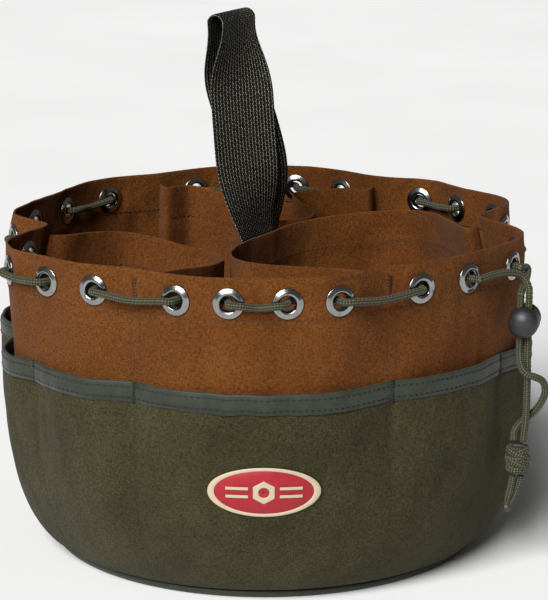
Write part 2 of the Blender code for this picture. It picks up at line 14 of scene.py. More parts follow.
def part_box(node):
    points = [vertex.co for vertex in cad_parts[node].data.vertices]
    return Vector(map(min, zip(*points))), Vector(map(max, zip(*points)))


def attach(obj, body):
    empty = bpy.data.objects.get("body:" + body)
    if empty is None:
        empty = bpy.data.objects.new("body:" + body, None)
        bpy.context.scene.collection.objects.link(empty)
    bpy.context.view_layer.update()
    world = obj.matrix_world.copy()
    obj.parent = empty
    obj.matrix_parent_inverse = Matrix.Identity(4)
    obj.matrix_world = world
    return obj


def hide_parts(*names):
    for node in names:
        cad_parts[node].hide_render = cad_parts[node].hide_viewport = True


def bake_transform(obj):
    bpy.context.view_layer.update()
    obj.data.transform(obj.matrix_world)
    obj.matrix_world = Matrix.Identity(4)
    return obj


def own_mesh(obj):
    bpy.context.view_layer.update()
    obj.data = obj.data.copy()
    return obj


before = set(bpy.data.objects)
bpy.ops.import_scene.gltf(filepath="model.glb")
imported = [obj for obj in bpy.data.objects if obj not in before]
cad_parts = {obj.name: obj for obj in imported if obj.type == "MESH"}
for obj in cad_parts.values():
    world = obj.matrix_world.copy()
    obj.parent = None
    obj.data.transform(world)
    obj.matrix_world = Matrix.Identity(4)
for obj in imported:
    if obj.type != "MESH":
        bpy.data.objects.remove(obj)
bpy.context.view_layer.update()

MM = 0.001
UP = Vector((0.0, 0.0, 1.0))
SHIFT = Vector((2.7, 1.0, 0.0)) * MM          # from the bag's own coordinates to the frame's
WALL_CENTRE = Vector((2.7, 0.0, 0.0)) * MM

# ---- The bag's shape, as in the frame ----

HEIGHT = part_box("outer_wall")[1].z
WALL_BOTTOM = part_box("outer_wall")[0].z
WALL_RADIUS = 152.5 * MM
WAIST_RADIUS = 149.5 * MM
BASE_RADIUS = 118.6 * MM
BASE_TAPE_INNER = 116.4 * MM
KNEE_HEIGHT = 85.0 * MM
HEM_DEPTH = 25.0 * MM
GATHERS = (("left", -79.5, 28.0 * MM, 9.8), ("front_left", -27.0, 6.0 * MM, 8.0),
           ("front_right", 27.0, 8.0 * MM, 9.0), ("right", 90.0, 30.0 * MM, 11.5),
           ("back_right", 150.0, 17.0 * MM, 13.0), ("back_left", 208.0, 10.0 * MM, 11.0))
WAVES = ((-59.0, -6.5 * MM, 10.0), (46.0, 9.0 * MM, 16.0), (124.0, 9.0 * MM, 10.0),
         (246.0, 12.0 * MM, 20.0))
BAND_HEIGHT = 123.0 * MM
POCKETS = {"left": 2, "front_left": 1, "front_right": 2, "right": 2, "back_right": 2,
           "back_left": 2}
BAND_SEAM_STANDOFF = 1.3 * MM
BAND_BELLY = 5.0 * MM
BAND_COLUMNS = 540
GROMMET_SHARES = {"left": (0.13, 0.36, 0.60, 0.83), "front_left": (0.18, 0.375, 0.585, 0.775),
                  "front_right": (0.12, 0.34, 0.58, 0.80), "right": (0.18, 0.39, 0.60, 0.81),
                  "back_right": (0.18, 0.39, 0.62, 0.82), "back_left": (0.18, 0.40, 0.62, 0.84)}
GROMMET_DROP = 13.5 * MM
GROMMET_RADIUS = 8.2 * MM
GROMMET_HOLE = 4.1 * MM

PETAL_BOTTOM = 6.2 * MM
PETAL_END_TOP = 178.0 * MM
PETAL_NOSE_TOP = 168.5 * MM
PETAL_END_CLEARANCE = 2.8 * MM
PETALS = {
    "divider_left": ("left", "front_left",
                     ((-97, -8), (-78, 2), (-60, -3), (-44, -14), (-30, -21), (-24, -33),
                      (-23, -50), (-30, -70), (-46, -98))),
    "divider_right": ("front_right", "right",
                      ((48, -106), (30, -97), (2, -80), (-13, -62), (-18, -38), (-15, -12),
                       (-7, 8), (3, 26), (12, 41), (24, 52), (46, 63), (78, 64), (98, 46))),
    "divider_back": ("back_right", "back_left",
                     ((48, 113), (30, 118), (17, 115), (20, 100), (28, 86), (28, 70),
                      (18, 60), (6, 60), (-4, 68), (-10, 84), (-17, 104), (-32, 118),
                      (-47, 124))),
}

# ---- Cords, in the bag's own coordinates, millimetres ----

CORD_RADIUS = 2.0 * MM
LACE_MOUTH = (1.4 * MM, 4.8 * MM)
LACE_SHOULDER = (7.0 * MM, 6.4 * MM)
LACE_SAG = 1.5 * MM
LEFT_END_ROUTE = ((124.0, -92.0, 171.6), (132.5, -86.5, 171.0), (139.0, -83.5, 168.0),
                  (142.0, -86.2, 163.0), (142.15, -88.0, 158.5), (142.15, -88.0, 154.0),
                  (142.15, -88.0, 144.0), (142.15, -88.0, 132.0), (142.15, -88.0, 124.0),
                  (142.4, -88.1, 114.0),
                  (142.4, -88.2, 100.0), (142.0, -88.2, 88.0), (141.0, -88.0, 77.0))
RIGHT_END_ROUTE = ((143.4, -64.5, 168.6), (142.6, -71.5, 165.6), (140.2, -79.5, 162.6),
                   (138.1, -86.4, 160.0), (137.85, -87.0, 156.5), (137.85, -87.0, 152.0),
                   (137.85, -87.0, 142.0), (137.85, -87.0, 132.0), (137.85, -87.0, 127.0),
                   (138.4, -90.6, 120.6),
                   (141.2, -93.6, 116.6), (146.2, -93.8, 114.8), (150.6, -91.6, 111.6),
                   (152.0, -89.6, 105.0), (149.6, -86.8, 97.4), (145.4, -83.8, 91.0),
                   (140.2, -82.8, 86.2), (136.6, -84.4, 81.8), (136.0, -86.6, 77.0))
KNOT_CENTRE = Vector((138.5, -87.3, 66.2)) * MM + SHIFT
KNOT_RADII = Vector((7.6, 6.8, 10.2)) * MM
TAIL_ROUTES = {"left": ((136.0, -87.8, 57.0), (134.8, -88.0, 50.0), (133.4, -87.8, 44.0),
                        (132.4, -87.4, 38.5)),
               "right": ((140.4, -87.0, 57.0), (138.8, -86.8, 50.0), (136.2, -87.0, 44.0),
                         (133.8, -87.2, 38.5))}

LOCK_CENTRE = Vector((142.7, -86.5, 144.5)) * MM
LOCK_TURN = -13.9
LOCK_SLOT_WIDTH = 9.6 * MM

HANDLE_WIDTH = 38.0 * MM
HANDLE_THICKNESS = 1.8 * MM
HANDLE_TURN = math.radians(62.0)
HANDLE_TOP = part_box("handle_loop")[1].z
HANDLE_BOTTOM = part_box("handle_loop")[0].z
HANDLE_FOOT_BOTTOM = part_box("handle_foot_near")[0].z
NEAR_FOOT = Vector((-4.4, 22.6, 0.0)) * MM + SHIFT
FAR_FOOT_OFFSET = (10.0 * MM, 2.4 * MM)
HANDLE_SPREAD = 9.5 * MM
HANDLE_LEAN = Vector((-10.5, 0.0, 0.0)) * MM
HANDLE_TWIST = 42.0

BADGE_SIZE = (58.5 * MM, 27.5 * MM)
BADGE_HEIGHT = 71.0 * MM


# ---- Curves ----

def ease(value):
    value = min(1.0, max(0.0, value))
    return value * value * (3.0 - 2.0 * value)


def smooth_curve(points, samples=12):
    """A Catmull-Rom curve through the points."""
    padded = [2 * points[0] - points[1], *points, 2 * points[-1] - points[-2]]
    curve = []
    for before, start, end, after in zip(padded, padded[1:], padded[2:], padded[3:]):
        for step in range(samples):
            t = step / samples
            curve.append(0.5 * (2 * start + (end - before) * t
                                + (2 * before - 5 * start + 4 * end - after) * t ** 2
                                + (3 * start - before - 3 * end + after) * t ** 3))
    return curve + [points[-1]]


def curve_length(points):
    return sum((end - start).length for start, end in zip(points, points[1:]))


def resample(curve, count):
    """The curve's points at equal steps of length, count steps in all."""
    lengths = [0.0]
    for start, end in zip(curve, curve[1:]):
        lengths.append(lengths[-1] + (end - start).length)
    samples = []
    index = 0
    for step in range(count + 1):
        target = lengths[-1] * step / count
        while index < len(curve) - 2 and lengths[index + 1] < target:
            index += 1
        span = max(1e-9, lengths[index + 1] - lengths[index])
        samples.append(curve[index].lerp(curve[index + 1], (target - lengths[index]) / span))
    return samples


def from_bag(route):
    return [Vector(point) * MM + SHIFT for point in route]


# ---- The wall as a surface ----

def outward(azimuth):
    angle = math.radians(azimuth)
    return Vector((math.sin(angle), -math.cos(angle), 0.0))


def azimuth_difference(first, second):
    return (first - second + 180.0) % 360.0 - 180.0


def wall_radius(azimuth, height):
    """Radius of the middle of the canvas wall."""
    if height < KNEE_HEIGHT:
        drop = (KNEE_HEIGHT - max(height, WALL_BOTTOM)) / (KNEE_HEIGHT - WALL_BOTTOM)
        radius = BASE_RADIUS + (WAIST_RADIUS - BASE_RADIUS) * math.sqrt(1.0 - drop * drop)
    else:
        rise = (height - KNEE_HEIGHT) / (HEIGHT - KNEE_HEIGHT)
        radius = WAIST_RADIUS + (WALL_RADIUS - WAIST_RADIUS) * ease(rise)
    fade = (max(height, 0.0) / HEIGHT) ** 1.6
    for centre, depth, half_width in [gather[1:] for gather in GATHERS] + list(WAVES):
        offset = azimuth_difference(azimuth, centre) / half_width
        radius -= depth * fade * math.exp(-offset * offset)
    return radius


def panel_span(index):
    name, start = GATHERS[index][:2]
    end = GATHERS[(index + 1) % len(GATHERS)][1]
    return name, start, end + 360.0 if end <= start else end


def along_panel(index, shares):
    """Azimuths at these shares of the way along a panel."""
    _, start, end = panel_span(index)
    return [start + (end - start) * share for share in shares]


def plain_wall(azimuth, height):
    return WALL_CENTRE + outward(azimuth) * wall_radius(azimuth, height) + UP * height


def grommet_frame(azimuth):
    """Centre, along and outward directions of a grommet, over its own width."""
    height = HEIGHT - GROMMET_DROP
    step = math.degrees(GROMMET_RADIUS / WALL_RADIUS)
    left = plain_wall(azimuth - step, height)
    right = plain_wall(azimuth + step, height)
    along = (right - left).normalized()
    centre = (plain_wall(azimuth, height) + (left + right) / 2) / 2
    return centre, along, along.cross(UP)


GROMMETS = []
for panel, gather in enumerate(GATHERS):
    for place in along_panel(panel, GROMMET_SHARES[gather[0]]):
        GROMMETS.append((place, *grommet_frame(place)))


def wrinkle(azimuth, height, seed=0.0):
    """Gentle creases: long ones up the wall, short ones near the rim."""
    angle = math.radians(azimuth)
    ring = Vector((math.cos(angle), math.sin(angle), 0.0)) * WALL_RADIUS
    long_folds = noise.noise(Vector((ring.x / 0.022, ring.y / 0.022, height / 0.075 + seed)))
    short_folds = noise.noise(Vector((ring.x / 0.009, ring.y / 0.009, height / 0.02 + 7 + seed)))
    return long_folds * 1.5 * MM + short_folds * 0.55 * MM


def wall_point(azimuth, height):
    """Middle of the wall, creased, and flat where a grommet clamps it."""
    base = plain_wall(azimuth, height)
    rim = ease((height - 0.02) / 0.06)
    if height < BAND_HEIGHT:
        aside = math.radians(azimuth_difference(azimuth, 0.0)) * WAIST_RADIUS
        rim *= ease((math.hypot(aside, height - BADGE_HEIGHT) - 26 * MM) / (18 * MM))
    point = base + outward(azimuth) * wrinkle(azimuth, height) * rim
    if height > HEIGHT - 2.4 * GROMMET_DROP:
        for place, centre, _, normal in GROMMETS:
            if abs(azimuth_difference(azimuth, place)) > 7.0:
                continue
            reach = (base - centre).length
            hold = ease((16.0 * MM - reach) / (7.0 * MM))
            if hold > 0.0:
                point -= normal * ((point - centre).dot(normal) * hold)
    return point


def wall_normal(azimuth, height):
    along = wall_point(azimuth + 0.4, height) - wall_point(azimuth - 0.4, height)
    rise = wall_point(azimuth, height + MM) - wall_point(azimuth, height - MM)
    return along.cross(rise).normalized()


# ---- Meshes ----


def place_object(name, data):
    placed = bpy.data.objects.new(name, data)
    bpy.context.scene.collection.objects.link(placed)
    return placed


def mesh_of(name, shape):
    """The mesh of a bmesh, which is freed."""
    mesh = bpy.data.meshes.new(name)
    shape.to_mesh(mesh)
    shape.free()
    return mesh


def add_piece(name, mesh, material, body="bag", smooth=True):
    """A piece of the bag on its body; body None leaves it on no body."""
    piece = place_object(name, mesh)
    mesh.materials.clear()
    mesh.materials.append(material)
    if smooth:
        mesh.shade_smooth()
    if body is not None:
        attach(piece, body)
    return piece


def mesh_from(name, vertices, faces, uvs=None):
    """A mesh with UVs in metres, given per face corner."""
    mesh = bpy.data.meshes.new(name)
    mesh.from_pydata(vertices, [], faces)
    if uvs is not None:
        layer = mesh.uv_layers.new(name="cloth")
        flat = [value for corner_uvs in uvs for pair in corner_uvs for value in pair]
        layer.data.foreach_set("uv", flat)
    mesh.update()
    return mesh


def swept(name, sections, ring=False, along_step=MM):
    """A closed skin over equal sections, each a loop of points, joined in order."""
    count = len(sections[0])
    vertices = [point for section in sections for point in section]
    faces = []
    uvs = []
    around = [0.0]
    middle = sections[len(sections) // 2]
    for start, end in zip(middle, middle[1:] + middle[:1]):
        around.append(around[-1] + (end - start).length)
    last = len(sections) if ring else len(sections) - 1
    for column in range(last):
        here = column * count
        there = ((column + 1) % len(sections)) * count
        for row in range(count):
            above = (row + 1) % count
            faces.append((here + row, there + row, there + above, here + above))
            low, high = around[row], around[row + 1]
            left, right = column * along_step, (column + 1) * along_step
            uvs.append(((left, low), (right, low), (right, high), (left, high)))
    if not ring:
        for column, turned_over in ((0, False), (len(sections) - 1, True)):
            base = column * count
            for row in range(count // 2 - 1):
                face = (base + row, base + row + 1, base + count - 2 - row, base + count - 1 - row)
                faces.append(tuple(reversed(face)) if turned_over else face)
                uvs.append(((0.0, 0.0),) * 4)
    return mesh_from(name, vertices, faces, uvs)


def cloth_section(points, normals, thickness, hem_thickness=None, hem_start=None):
    """A loop round a sheet: up its outer side, over a rounded edge and down its inner side."""
    outer = []
    inner = []
    for row, (point, normal) in enumerate(zip(points, normals)):
        hemmed = hem_start is not None and row >= hem_start
        outer.append(point + normal * (thickness / 2 + (0.15 * MM if hemmed else 0.0)))
        inner.append(point - normal * ((hem_thickness - thickness / 2) if hemmed
                                       else thickness / 2))
    top_outer, top_inner = outer[-1], inner[-1]
    rise = (points[-1] - points[-2]).normalized()
    middle = (top_outer + top_inner) / 2
    radius = (top_outer - top_inner).length / 2
    edge = []
    for step in range(1, 6):
        angle = math.pi * step / 6
        edge.append(middle + normals[-1] * radius * math.cos(angle)
                    + rise * radius * math.sin(angle))
    loop = outer + edge + inner[::-1]
    return loop if len(loop) % 2 == 0 else loop + [loop[-1].lerp(loop[0], 0.5)]


def tube_rings(path, radius, sides, relief=None, taper=None):
    """Rings of points round a path, turning with it as little as possible."""
    rings = []
    tangent = (path[1] - path[0]).normalized()
    side = tangent.orthogonal().normalized()
    travelled = 0.0
    for index, point in enumerate(path):
        if index:
            travelled += (point - path[index - 1]).length
        ahead = path[min(index + 1, len(path) - 1)] - path[max(index - 1, 0)]
        new_tangent = ahead.normalized()
        side = (side - new_tangent * side.dot(new_tangent)).normalized()
        other = new_tangent.cross(side)
        ring = []
        for corner in range(sides):
            angle = 2 * math.pi * corner / sides
            size = radius * (1.0 if relief is None else relief(angle, travelled))
            size *= 1.0 if taper is None else taper(travelled)
            ring.append(point + side * math.cos(angle) * size + other * math.sin(angle) * size)
        rings.append(ring)
    return rings


def tube_mesh(name, path, radius, sides, relief=None, taper=None):
    """A capped tube, with U along it and V round it, both in metres."""
    rings = tube_rings(path, radius, sides, relief, taper)
    vertices = [point for ring in rings for point in ring]
    faces = []
    uvs = []
    travelled = 0.0
    turn = 2 * math.pi * radius / sides
    for index in range(len(rings) - 1):
        step = (path[index + 1] - path[index]).length
        for corner in range(sides):
            following = (corner + 1) % sides
            faces.append((index * sides + corner, index * sides + following,
                          (index + 1) * sides + following, (index + 1) * sides + corner))
            low, high = corner * turn, (corner + 1) * turn
            uvs.append(((travelled, low), (travelled, high), (travelled + step, high),
                        (travelled + step, low)))
        travelled += step
    for base, centre, flipped in ((0, path[0], True), ((len(rings) - 1) * sides, path[-1], False)):
        vertices.append(centre)
        for corner in range(sides):
            face = (base + corner, base + (corner + 1) % sides, len(vertices) - 1)
            faces.append(tuple(reversed(face)) if flipped else face)
            uvs.append(((0.0, 0.0),) * 3)
    return mesh_from(name, vertices, faces, uvs)


def turned_mesh(name, profile, segments, matrix):
    """A closed (radius, height) profile turned about Z."""
    sections = []
    for segment in range(segments):
        angle = 2 * math.pi * segment / segments
        sections.append([matrix @ Vector((radius * math.cos(angle), radius * math.sin(angle),
                                          height)) for radius, height in profile])
    return swept(name, sections, ring=True)


def turned_piece(name, profile, segments, matrix, material, replaced, body="bag"):
    piece = add_piece(name, turned_mesh(name, profile, segments, matrix), material, body)
    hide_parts(replaced)
    return piece


def ring_piece(name, sections, material, *replaced):
    """A piece swept all round the wall."""
    step = 2 * math.pi * WALL_RADIUS / len(sections)
    piece = add_piece(name, swept(name, sections, ring=True, along_step=step), material)
    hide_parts(*replaced)
    return piece


def joined(name, meshes):
    """One mesh of several."""
    shape = bmesh.new()
    for mesh in meshes:
        shape.from_mesh(mesh)
        bpy.data.meshes.remove(mesh)
    return mesh_of(name, shape)


def stitches(lines, pitch=3.4 * MM, length=2.5 * MM, radius=0.28 * MM):
    """Thread stitches on surface lines: each line is a list of (point, normal)."""
    vertices = []
    faces = []
    rings = ((0.0, 0.35, -0.6), (0.18, 0.9, 0.1), (0.5, 1.0, 0.45), (0.82, 0.9, 0.1),
             (1.0, 0.35, -0.6))
    sides = 6
    for line in lines:
        points = [point for point, _ in line]
        total = curve_length(points)
        count = max(1, round(total / pitch))
        spots = resample(points, count * 4)
        normals = resample([normal for _, normal in line], len(line) - 1)
        for stitch in range(count):
            start, end = spots[stitch * 4], spots[stitch * 4 + 4]
            share = (stitch + 0.5) / count
            normal = normals[min(len(normals) - 1, round(share * (len(normals) - 1)))].normalized()
            direction = (end - start).normalized()
            across = normal.cross(direction).normalized()
            middle = (start + end) / 2
            base = len(vertices)
            for run, size, lift in rings:
                centre = middle + direction * (run - 0.5) * length + normal * lift * radius
                for corner in range(sides):
                    angle = 2 * math.pi * corner / sides
                    vertices.append(centre + (across * math.cos(angle)
                                              + normal * math.sin(angle)) * radius * size)
            for ring in range(len(rings) - 1):
                for corner in range(sides):
                    following = (corner + 1) % sides
                    here, there = base + ring * sides, base + (ring + 1) * sides
                    faces.append((here + corner, there + corner, there + following,
                                  here + following))
            faces.append(tuple(base + corner for corner in range(sides)))
            end_ring = base + (len(rings) - 1) * sides
            faces.append(tuple(end_ring + corner for corner in reversed(range(sides))))
    return vertices, faces


def stitch_piece(name, lines, material, **sizes):
    add_piece(name, mesh_from(name, *stitches(lines, **sizes)), material)


def bartack(centre, normal, length, width, passes):
    """An upright bartack's zigzag thread: (point, normal) pairs."""
    across = UP.cross(normal).normalized()
    line = []
    for step in range(passes + 1):
        side = 1 if step % 2 else -1
        line.append((centre + UP * length * (step / passes - 0.5) + across * width / 2 * side,
                     normal))
    return line


# ---- Materials ----

def new_material(name):
    material = bpy.data.materials.new(name)
    material.use_nodes = True
    tree = material.node_tree
    return material, tree, tree.nodes["Principled BSDF"]


def node(tree, kind, values=None, **settings):
    """A shader node with its settings, and its unlinked inputs set."""
    made = tree.nodes.new(kind)
    for key, value in settings.items():
        setattr(made, key, value)
    for key, value in (values or {}).items():
        made.inputs[key].default_value = value
    return made


def link(tree, *pairs):
    for source, target in pairs:
        tree.links.new(source, target)


def calculate(tree, operation, first, second=None):
    """A Math node; an operand is a number or an output."""
    made = node(tree, "ShaderNodeMath", operation=operation)
    for index, operand in enumerate((first, second)):
        if operand is None:
            continue
        if isinstance(operand, (int, float)):
            made.inputs[index].default_value = operand
        else:
            tree.links.new(operand, made.inputs[index])
    return made.outputs[0]


def plus(tree, first, second):
    return calculate(tree, "ADD", first, second)


def times(tree, first, second):
    return calculate(tree, "MULTIPLY", first, second)


def cloth_place(tree):
    """The cloth's own coordinates in metres: both, along and across."""
    uv = node(tree, "ShaderNodeUVMap", uv_map="cloth").outputs[0]
    split = node(tree, "ShaderNodeSeparateXYZ")
    link(tree, (uv, split.inputs[0]))
    return uv, split.outputs[0], split.outputs[1]


def object_place(tree):
    return node(tree, "ShaderNodeTexCoord").outputs["Object"]


def set_finish(shader, **finish):
    """Sets shader inputs, such as Sheen_Weight=0.1."""
    for name, value in finish.items():
        shader.inputs[name.replace("_", " ")].default_value = value


def noise_output(tree, vector, scale, detail=2.0, roughness=0.5, stretch=(1.0, 1.0, 1.0)):
    mapping = node(tree, "ShaderNodeMapping", {"Scale": stretch})
    texture = node(tree, "ShaderNodeTexNoise",
                   {"Scale": scale, "Detail": detail, "Roughness": roughness})
    link(tree, (vector, mapping.inputs["Vector"]), (mapping.outputs[0], texture.inputs["Vector"]))
    return texture.outputs["Fac"]


def ramp(tree, factor, stops):
    made = node(tree, "ShaderNodeValToRGB")
    elements = made.color_ramp.elements
    while len(elements) < len(stops):
        elements.new(0.5)
    for element, (position, colour) in zip(elements, stops):
        element.position = position
        element.color = (*colour, 1.0)
    tree.links.new(factor, made.inputs[0])
    return made.outputs[0]


def multiplied(tree, first, second):
    """One colour times another."""
    made = node(tree, "ShaderNodeMix", {0: 1.0}, data_type="RGBA", blend_type="MULTIPLY")
    link(tree, (first, made.inputs[6]), (second, made.inputs[7]))
    return made.outputs[2]


def bump(tree, shader, height, strength, distance):
    made = node(tree, "ShaderNodeBump", {"Strength": strength, "Distance": distance})
    link(tree, (height, made.inputs["Height"]), (made.outputs[0], shader.inputs["Normal"]))


def scaled(colour, factor):
    return tuple(channel * factor for channel in colour)


def woven_cloth(name, colour, pitch, mottle, slub, sheen, depth, warm):
    """A plain weave: threads both ways, slubs along them, and patches of wear and fading."""
    material, tree, shader = new_material(name)
    uv, across, upward = cloth_place(tree)
    place = object_place(tree)
    wobble = noise_output(tree, place, 160.0, 2.0)
    along = plus(tree, across, times(tree, wobble, 1.2 * MM))
    rise = plus(tree, upward, times(tree, wobble, 0.9 * MM))
    turns = 2 * math.pi / pitch
    warp = calculate(tree, "SINE", times(tree, along, turns))
    weft = calculate(tree, "SINE", times(tree, rise, turns))
    weave = times(tree, warp, weft)
    warp_slub = noise_output(tree, uv, 1.0, 2.0, 0.6, (1400.0, 420.0, 1.0))
    weft_slub = noise_output(tree, uv, 1.0, 2.0, 0.6, (420.0, 1300.0, 1.0))
    slubs = plus(tree, warp_slub, weft_slub)
    grain = noise_output(tree, place, 900.0, 2.0, 0.6)
    height = plus(tree, times(tree, weave, 0.4), slubs)
    height = plus(tree, height, times(tree, grain, 0.6))
    patch = noise_output(tree, place, 28.0, 4.0, 0.6)
    fleck = plus(tree, times(tree, slubs, 0.5),
                 times(tree, grain, 0.5))
    fleck = plus(tree, fleck, times(tree, weave, 0.07))
    fine = ramp(tree, fleck, ((0.58, scaled(colour, 1.0 - slub)), (0.75, colour),
                              (0.92, scaled(colour, 1.0 + slub))))
    tint = ramp(tree, patch, ((0.3, scaled(warm, 1.0 - mottle)), (0.7, (1.0 + mottle * 0.5,) * 3)))
    link(tree, (multiplied(tree, fine, tint), shader.inputs["Base Color"]))
    set_finish(shader, Roughness=0.9, Sheen_Weight=sheen, Sheen_Roughness=0.5,
               Specular_IOR_Level=0.12)
    crumple = noise_output(tree, place, 42.0, 3.0, 0.45, (1.0, 1.0, 0.7))
    height = plus(tree, height, times(tree, crumple, 22.0))
    bump(tree, shader, height, 0.7, depth)
    return material


def smooth_tape(name, colour):
    """Fine ribbed binding tape with scuffs."""
    material, tree, shader = new_material(name)
    _, along, _ = cloth_place(tree)
    place = object_place(tree)
    ribs = calculate(tree, "SINE", times(tree, along, 2 * math.pi / (0.7 * MM)))
    scuff = noise_output(tree, place, 120.0, 4.0, 0.65)
    grain = noise_output(tree, place, 1100.0, 1.0)
    shade = ramp(tree, scuff, ((0.3, scaled(colour, 0.62)), (0.55, colour),
                               (0.75, scaled(colour, 1.55))))
    link(tree, (shade, shader.inputs["Base Color"]))
    rough = plus(tree, 0.43, times(tree, scuff, 0.3))
    link(tree, (rough, shader.inputs["Roughness"]))
    set_finish(shader, Sheen_Weight=0.1, Specular_IOR_Level=0.4)
    relief = plus(tree, times(tree, ribs, 0.3), grain)
    bump(tree, shader, relief, 0.4, 0.15 * MM)
    return material


def braided_cord(name, colour, fleck):
    """A braided sheath: two sets of strands crossing, with lighter tracer flecks."""
    material, tree, shader = new_material(name)
    uv, run, girth = cloth_place(tree)
    along = times(tree, run, 2 * math.pi * 420.0)
    around = times(tree, girth, 4 / CORD_RADIUS)
    one = calculate(tree, "SINE", plus(tree, along, around))
    two = calculate(tree, "SINE", calculate(tree, "SUBTRACT", along, around))
    braid = calculate(tree, "MAXIMUM", one, two)
    tracer = times(tree, one, two)
    fibre = noise_output(tree, uv, 1.0, 1.0, 0.5, (2600.0, 2600.0, 1.0))
    value = plus(tree, times(tree, tracer, 0.5),
                 times(tree, fibre, 0.6))
    shade = ramp(tree, value, ((0.0, scaled(colour, 0.35)), (0.35, colour), (0.75, fleck)))
    link(tree, (shade, shader.inputs["Base Color"]))
    set_finish(shader, Roughness=0.75, Sheen_Weight=0.1)
    bump(tree, shader, plus(tree, braid, fibre), 0.5, 0.2 * MM)
    return material


WEB_COLUMN = 2.0 * MM
WEB_PICK = 2.2 * MM


def webbing_material(name, colour, fleck):
    """Heavy webbing: dark warp ribs with the lighter weft showing between them."""
    material, tree, shader = new_material(name)
    uv, run, breadth = cloth_place(tree)
    half = times(tree, breadth, math.pi / WEB_COLUMN)
    parity = calculate(tree, "SIGN", calculate(tree, "SINE", half))
    along = plus(tree, times(tree, run, 2 * math.pi / WEB_PICK), times(tree, parity, math.pi / 2))
    picks = calculate(tree, "COSINE", along)
    ribs = calculate(tree, "COSINE", times(tree, breadth, 2 * math.pi / WEB_COLUMN))
    spot = times(tree, plus(tree, picks, 1.0), plus(tree, ribs, 1.0))
    irregular = noise_output(tree, uv, 1.0, 2.0, 0.6, (500.0, 500.0, 1.0))
    fibre = noise_output(tree, uv, 1.0, 1.0, 0.5, (600.0, 4200.0, 1.0))
    value = times(tree, spot, plus(tree, irregular, 0.1))
    value = times(tree, value, 0.42)
    shade = ramp(tree, value, ((0.0, scaled(colour, 0.6)), (0.58, colour), (0.84, fleck),
                               (1.0, scaled(fleck, 1.3))))
    fibres = ramp(tree, fibre, ((0.35, (0.7, 0.7, 0.7)), (0.65, (1.3, 1.3, 1.3))))
    link(tree, (multiplied(tree, shade, fibres), shader.inputs["Base Color"]))
    set_finish(shader, Roughness=0.75, Specular_IOR_Level=0.2)
    bump(tree, shader, fibre, 0.4, 0.12 * MM)
    return material


def worn_metal(name, colour, roughness):
    material, tree, shader = new_material(name)
    place = object_place(tree)
    wear = noise_output(tree, place, 420.0, 4.0, 0.65)
    haze = noise_output(tree, place, 90.0, 3.0, 0.6)
    shade = ramp(tree, wear, ((0.3, scaled(colour, 0.7)), (0.6, colour)))
    link(tree, (shade, shader.inputs["Base Color"]))
    rough = plus(tree, roughness - 0.1, times(tree, haze, 0.3))
    link(tree, (rough, shader.inputs["Roughness"]))
    set_finish(shader, Metallic=1.0)
    bump(tree, shader, wear, 0.12, 0.05 * MM)
    return material


def moulded_plastic(name, colour, roughness, wear=2.2):
    material, tree, shader = new_material(name)
    place = object_place(tree)
    spark = noise_output(tree, place, 2600.0, 2.0, 0.6)
    scuff = noise_output(tree, place, 260.0, 4.0, 0.7)
    shade = ramp(tree, scuff, ((0.4, colour), (0.75, scaled(colour, wear))))
    link(tree, (shade, shader.inputs["Base Color"]))
    rough = plus(tree, roughness - 0.1, times(tree, scuff, 0.3))
    link(tree, (rough, shader.inputs["Roughness"]))
    bump(tree, shader, spark, 0.25, 0.08 * MM)
    return material


def thread(name, colour):
    """Twisted sewing thread."""
    material, tree, shader = new_material(name)
    place = object_place(tree)
    ply = noise_output(tree, place, 1800.0, 1.0)
    shade = ramp(tree, ply, ((0.35, scaled(colour, 0.65)), (0.65, scaled(colour, 1.25))))
    link(tree, (shade, shader.inputs["Base Color"]))
    set_finish(shader, Roughness=0.6)
    bump(tree, shader, ply, 0.3, 0.08 * MM)
    return material


DUCK = woven_cloth("brown_duck", (0.114, 0.0385, 0.0068), 1.0 * MM, mottle=0.26, slub=0.5,
                   sheen=0.03, depth=0.35 * MM, warm=(1.1, 1.0, 0.85))
RIPSTOP = woven_cloth("olive_cloth", (0.040, 0.0350, 0.0145), 1.1 * MM, mottle=0.28, slub=0.6,
                      sheen=0.04, depth=0.4 * MM, warm=(1.0, 1.0, 0.9))
TAPE = smooth_tape("green_tape", (0.019, 0.0245, 0.0135))
PARACORD = braided_cord("olive_paracord", (0.013, 0.014, 0.005), (0.12, 0.115, 0.035))
WEBBING = webbing_material("webbing", (0.0040, 0.0040, 0.0030), (0.26, 0.25, 0.18))
NICKEL = worn_metal("nickel", (0.36, 0.36, 0.345), 0.16)
STEEL = worn_metal("spring_steel", (0.5, 0.5, 0.5), 0.35)
BLACK_PLASTIC = moulded_plastic("black_plastic", (0.012, 0.012, 0.013), 0.42)
MELTED = moulded_plastic("melted_cord_end", (0.020, 0.020, 0.012), 0.35)
BROWN_THREAD = thread("brown_thread", (0.050, 0.013, 0.005))
DARK_THREAD = thread("dark_green_thread", (0.003, 0.005, 0.003))
RED = moulded_plastic("badge_red", (0.29, 0.003, 0.012), 0.4, wear=1.15)
CREAM = moulded_plastic("badge_cream", (0.46, 0.38, 0.26), 0.45, wear=1.1)


# ---- Wall ----

def arange(start, end, count):
    return [start + (end - start) * step / count for step in range(count + 1)]


def round_azimuths(count):
    """Azimuths all round, starting at the back."""
    return [180.0 + 360.0 * column / count for column in range(count)]


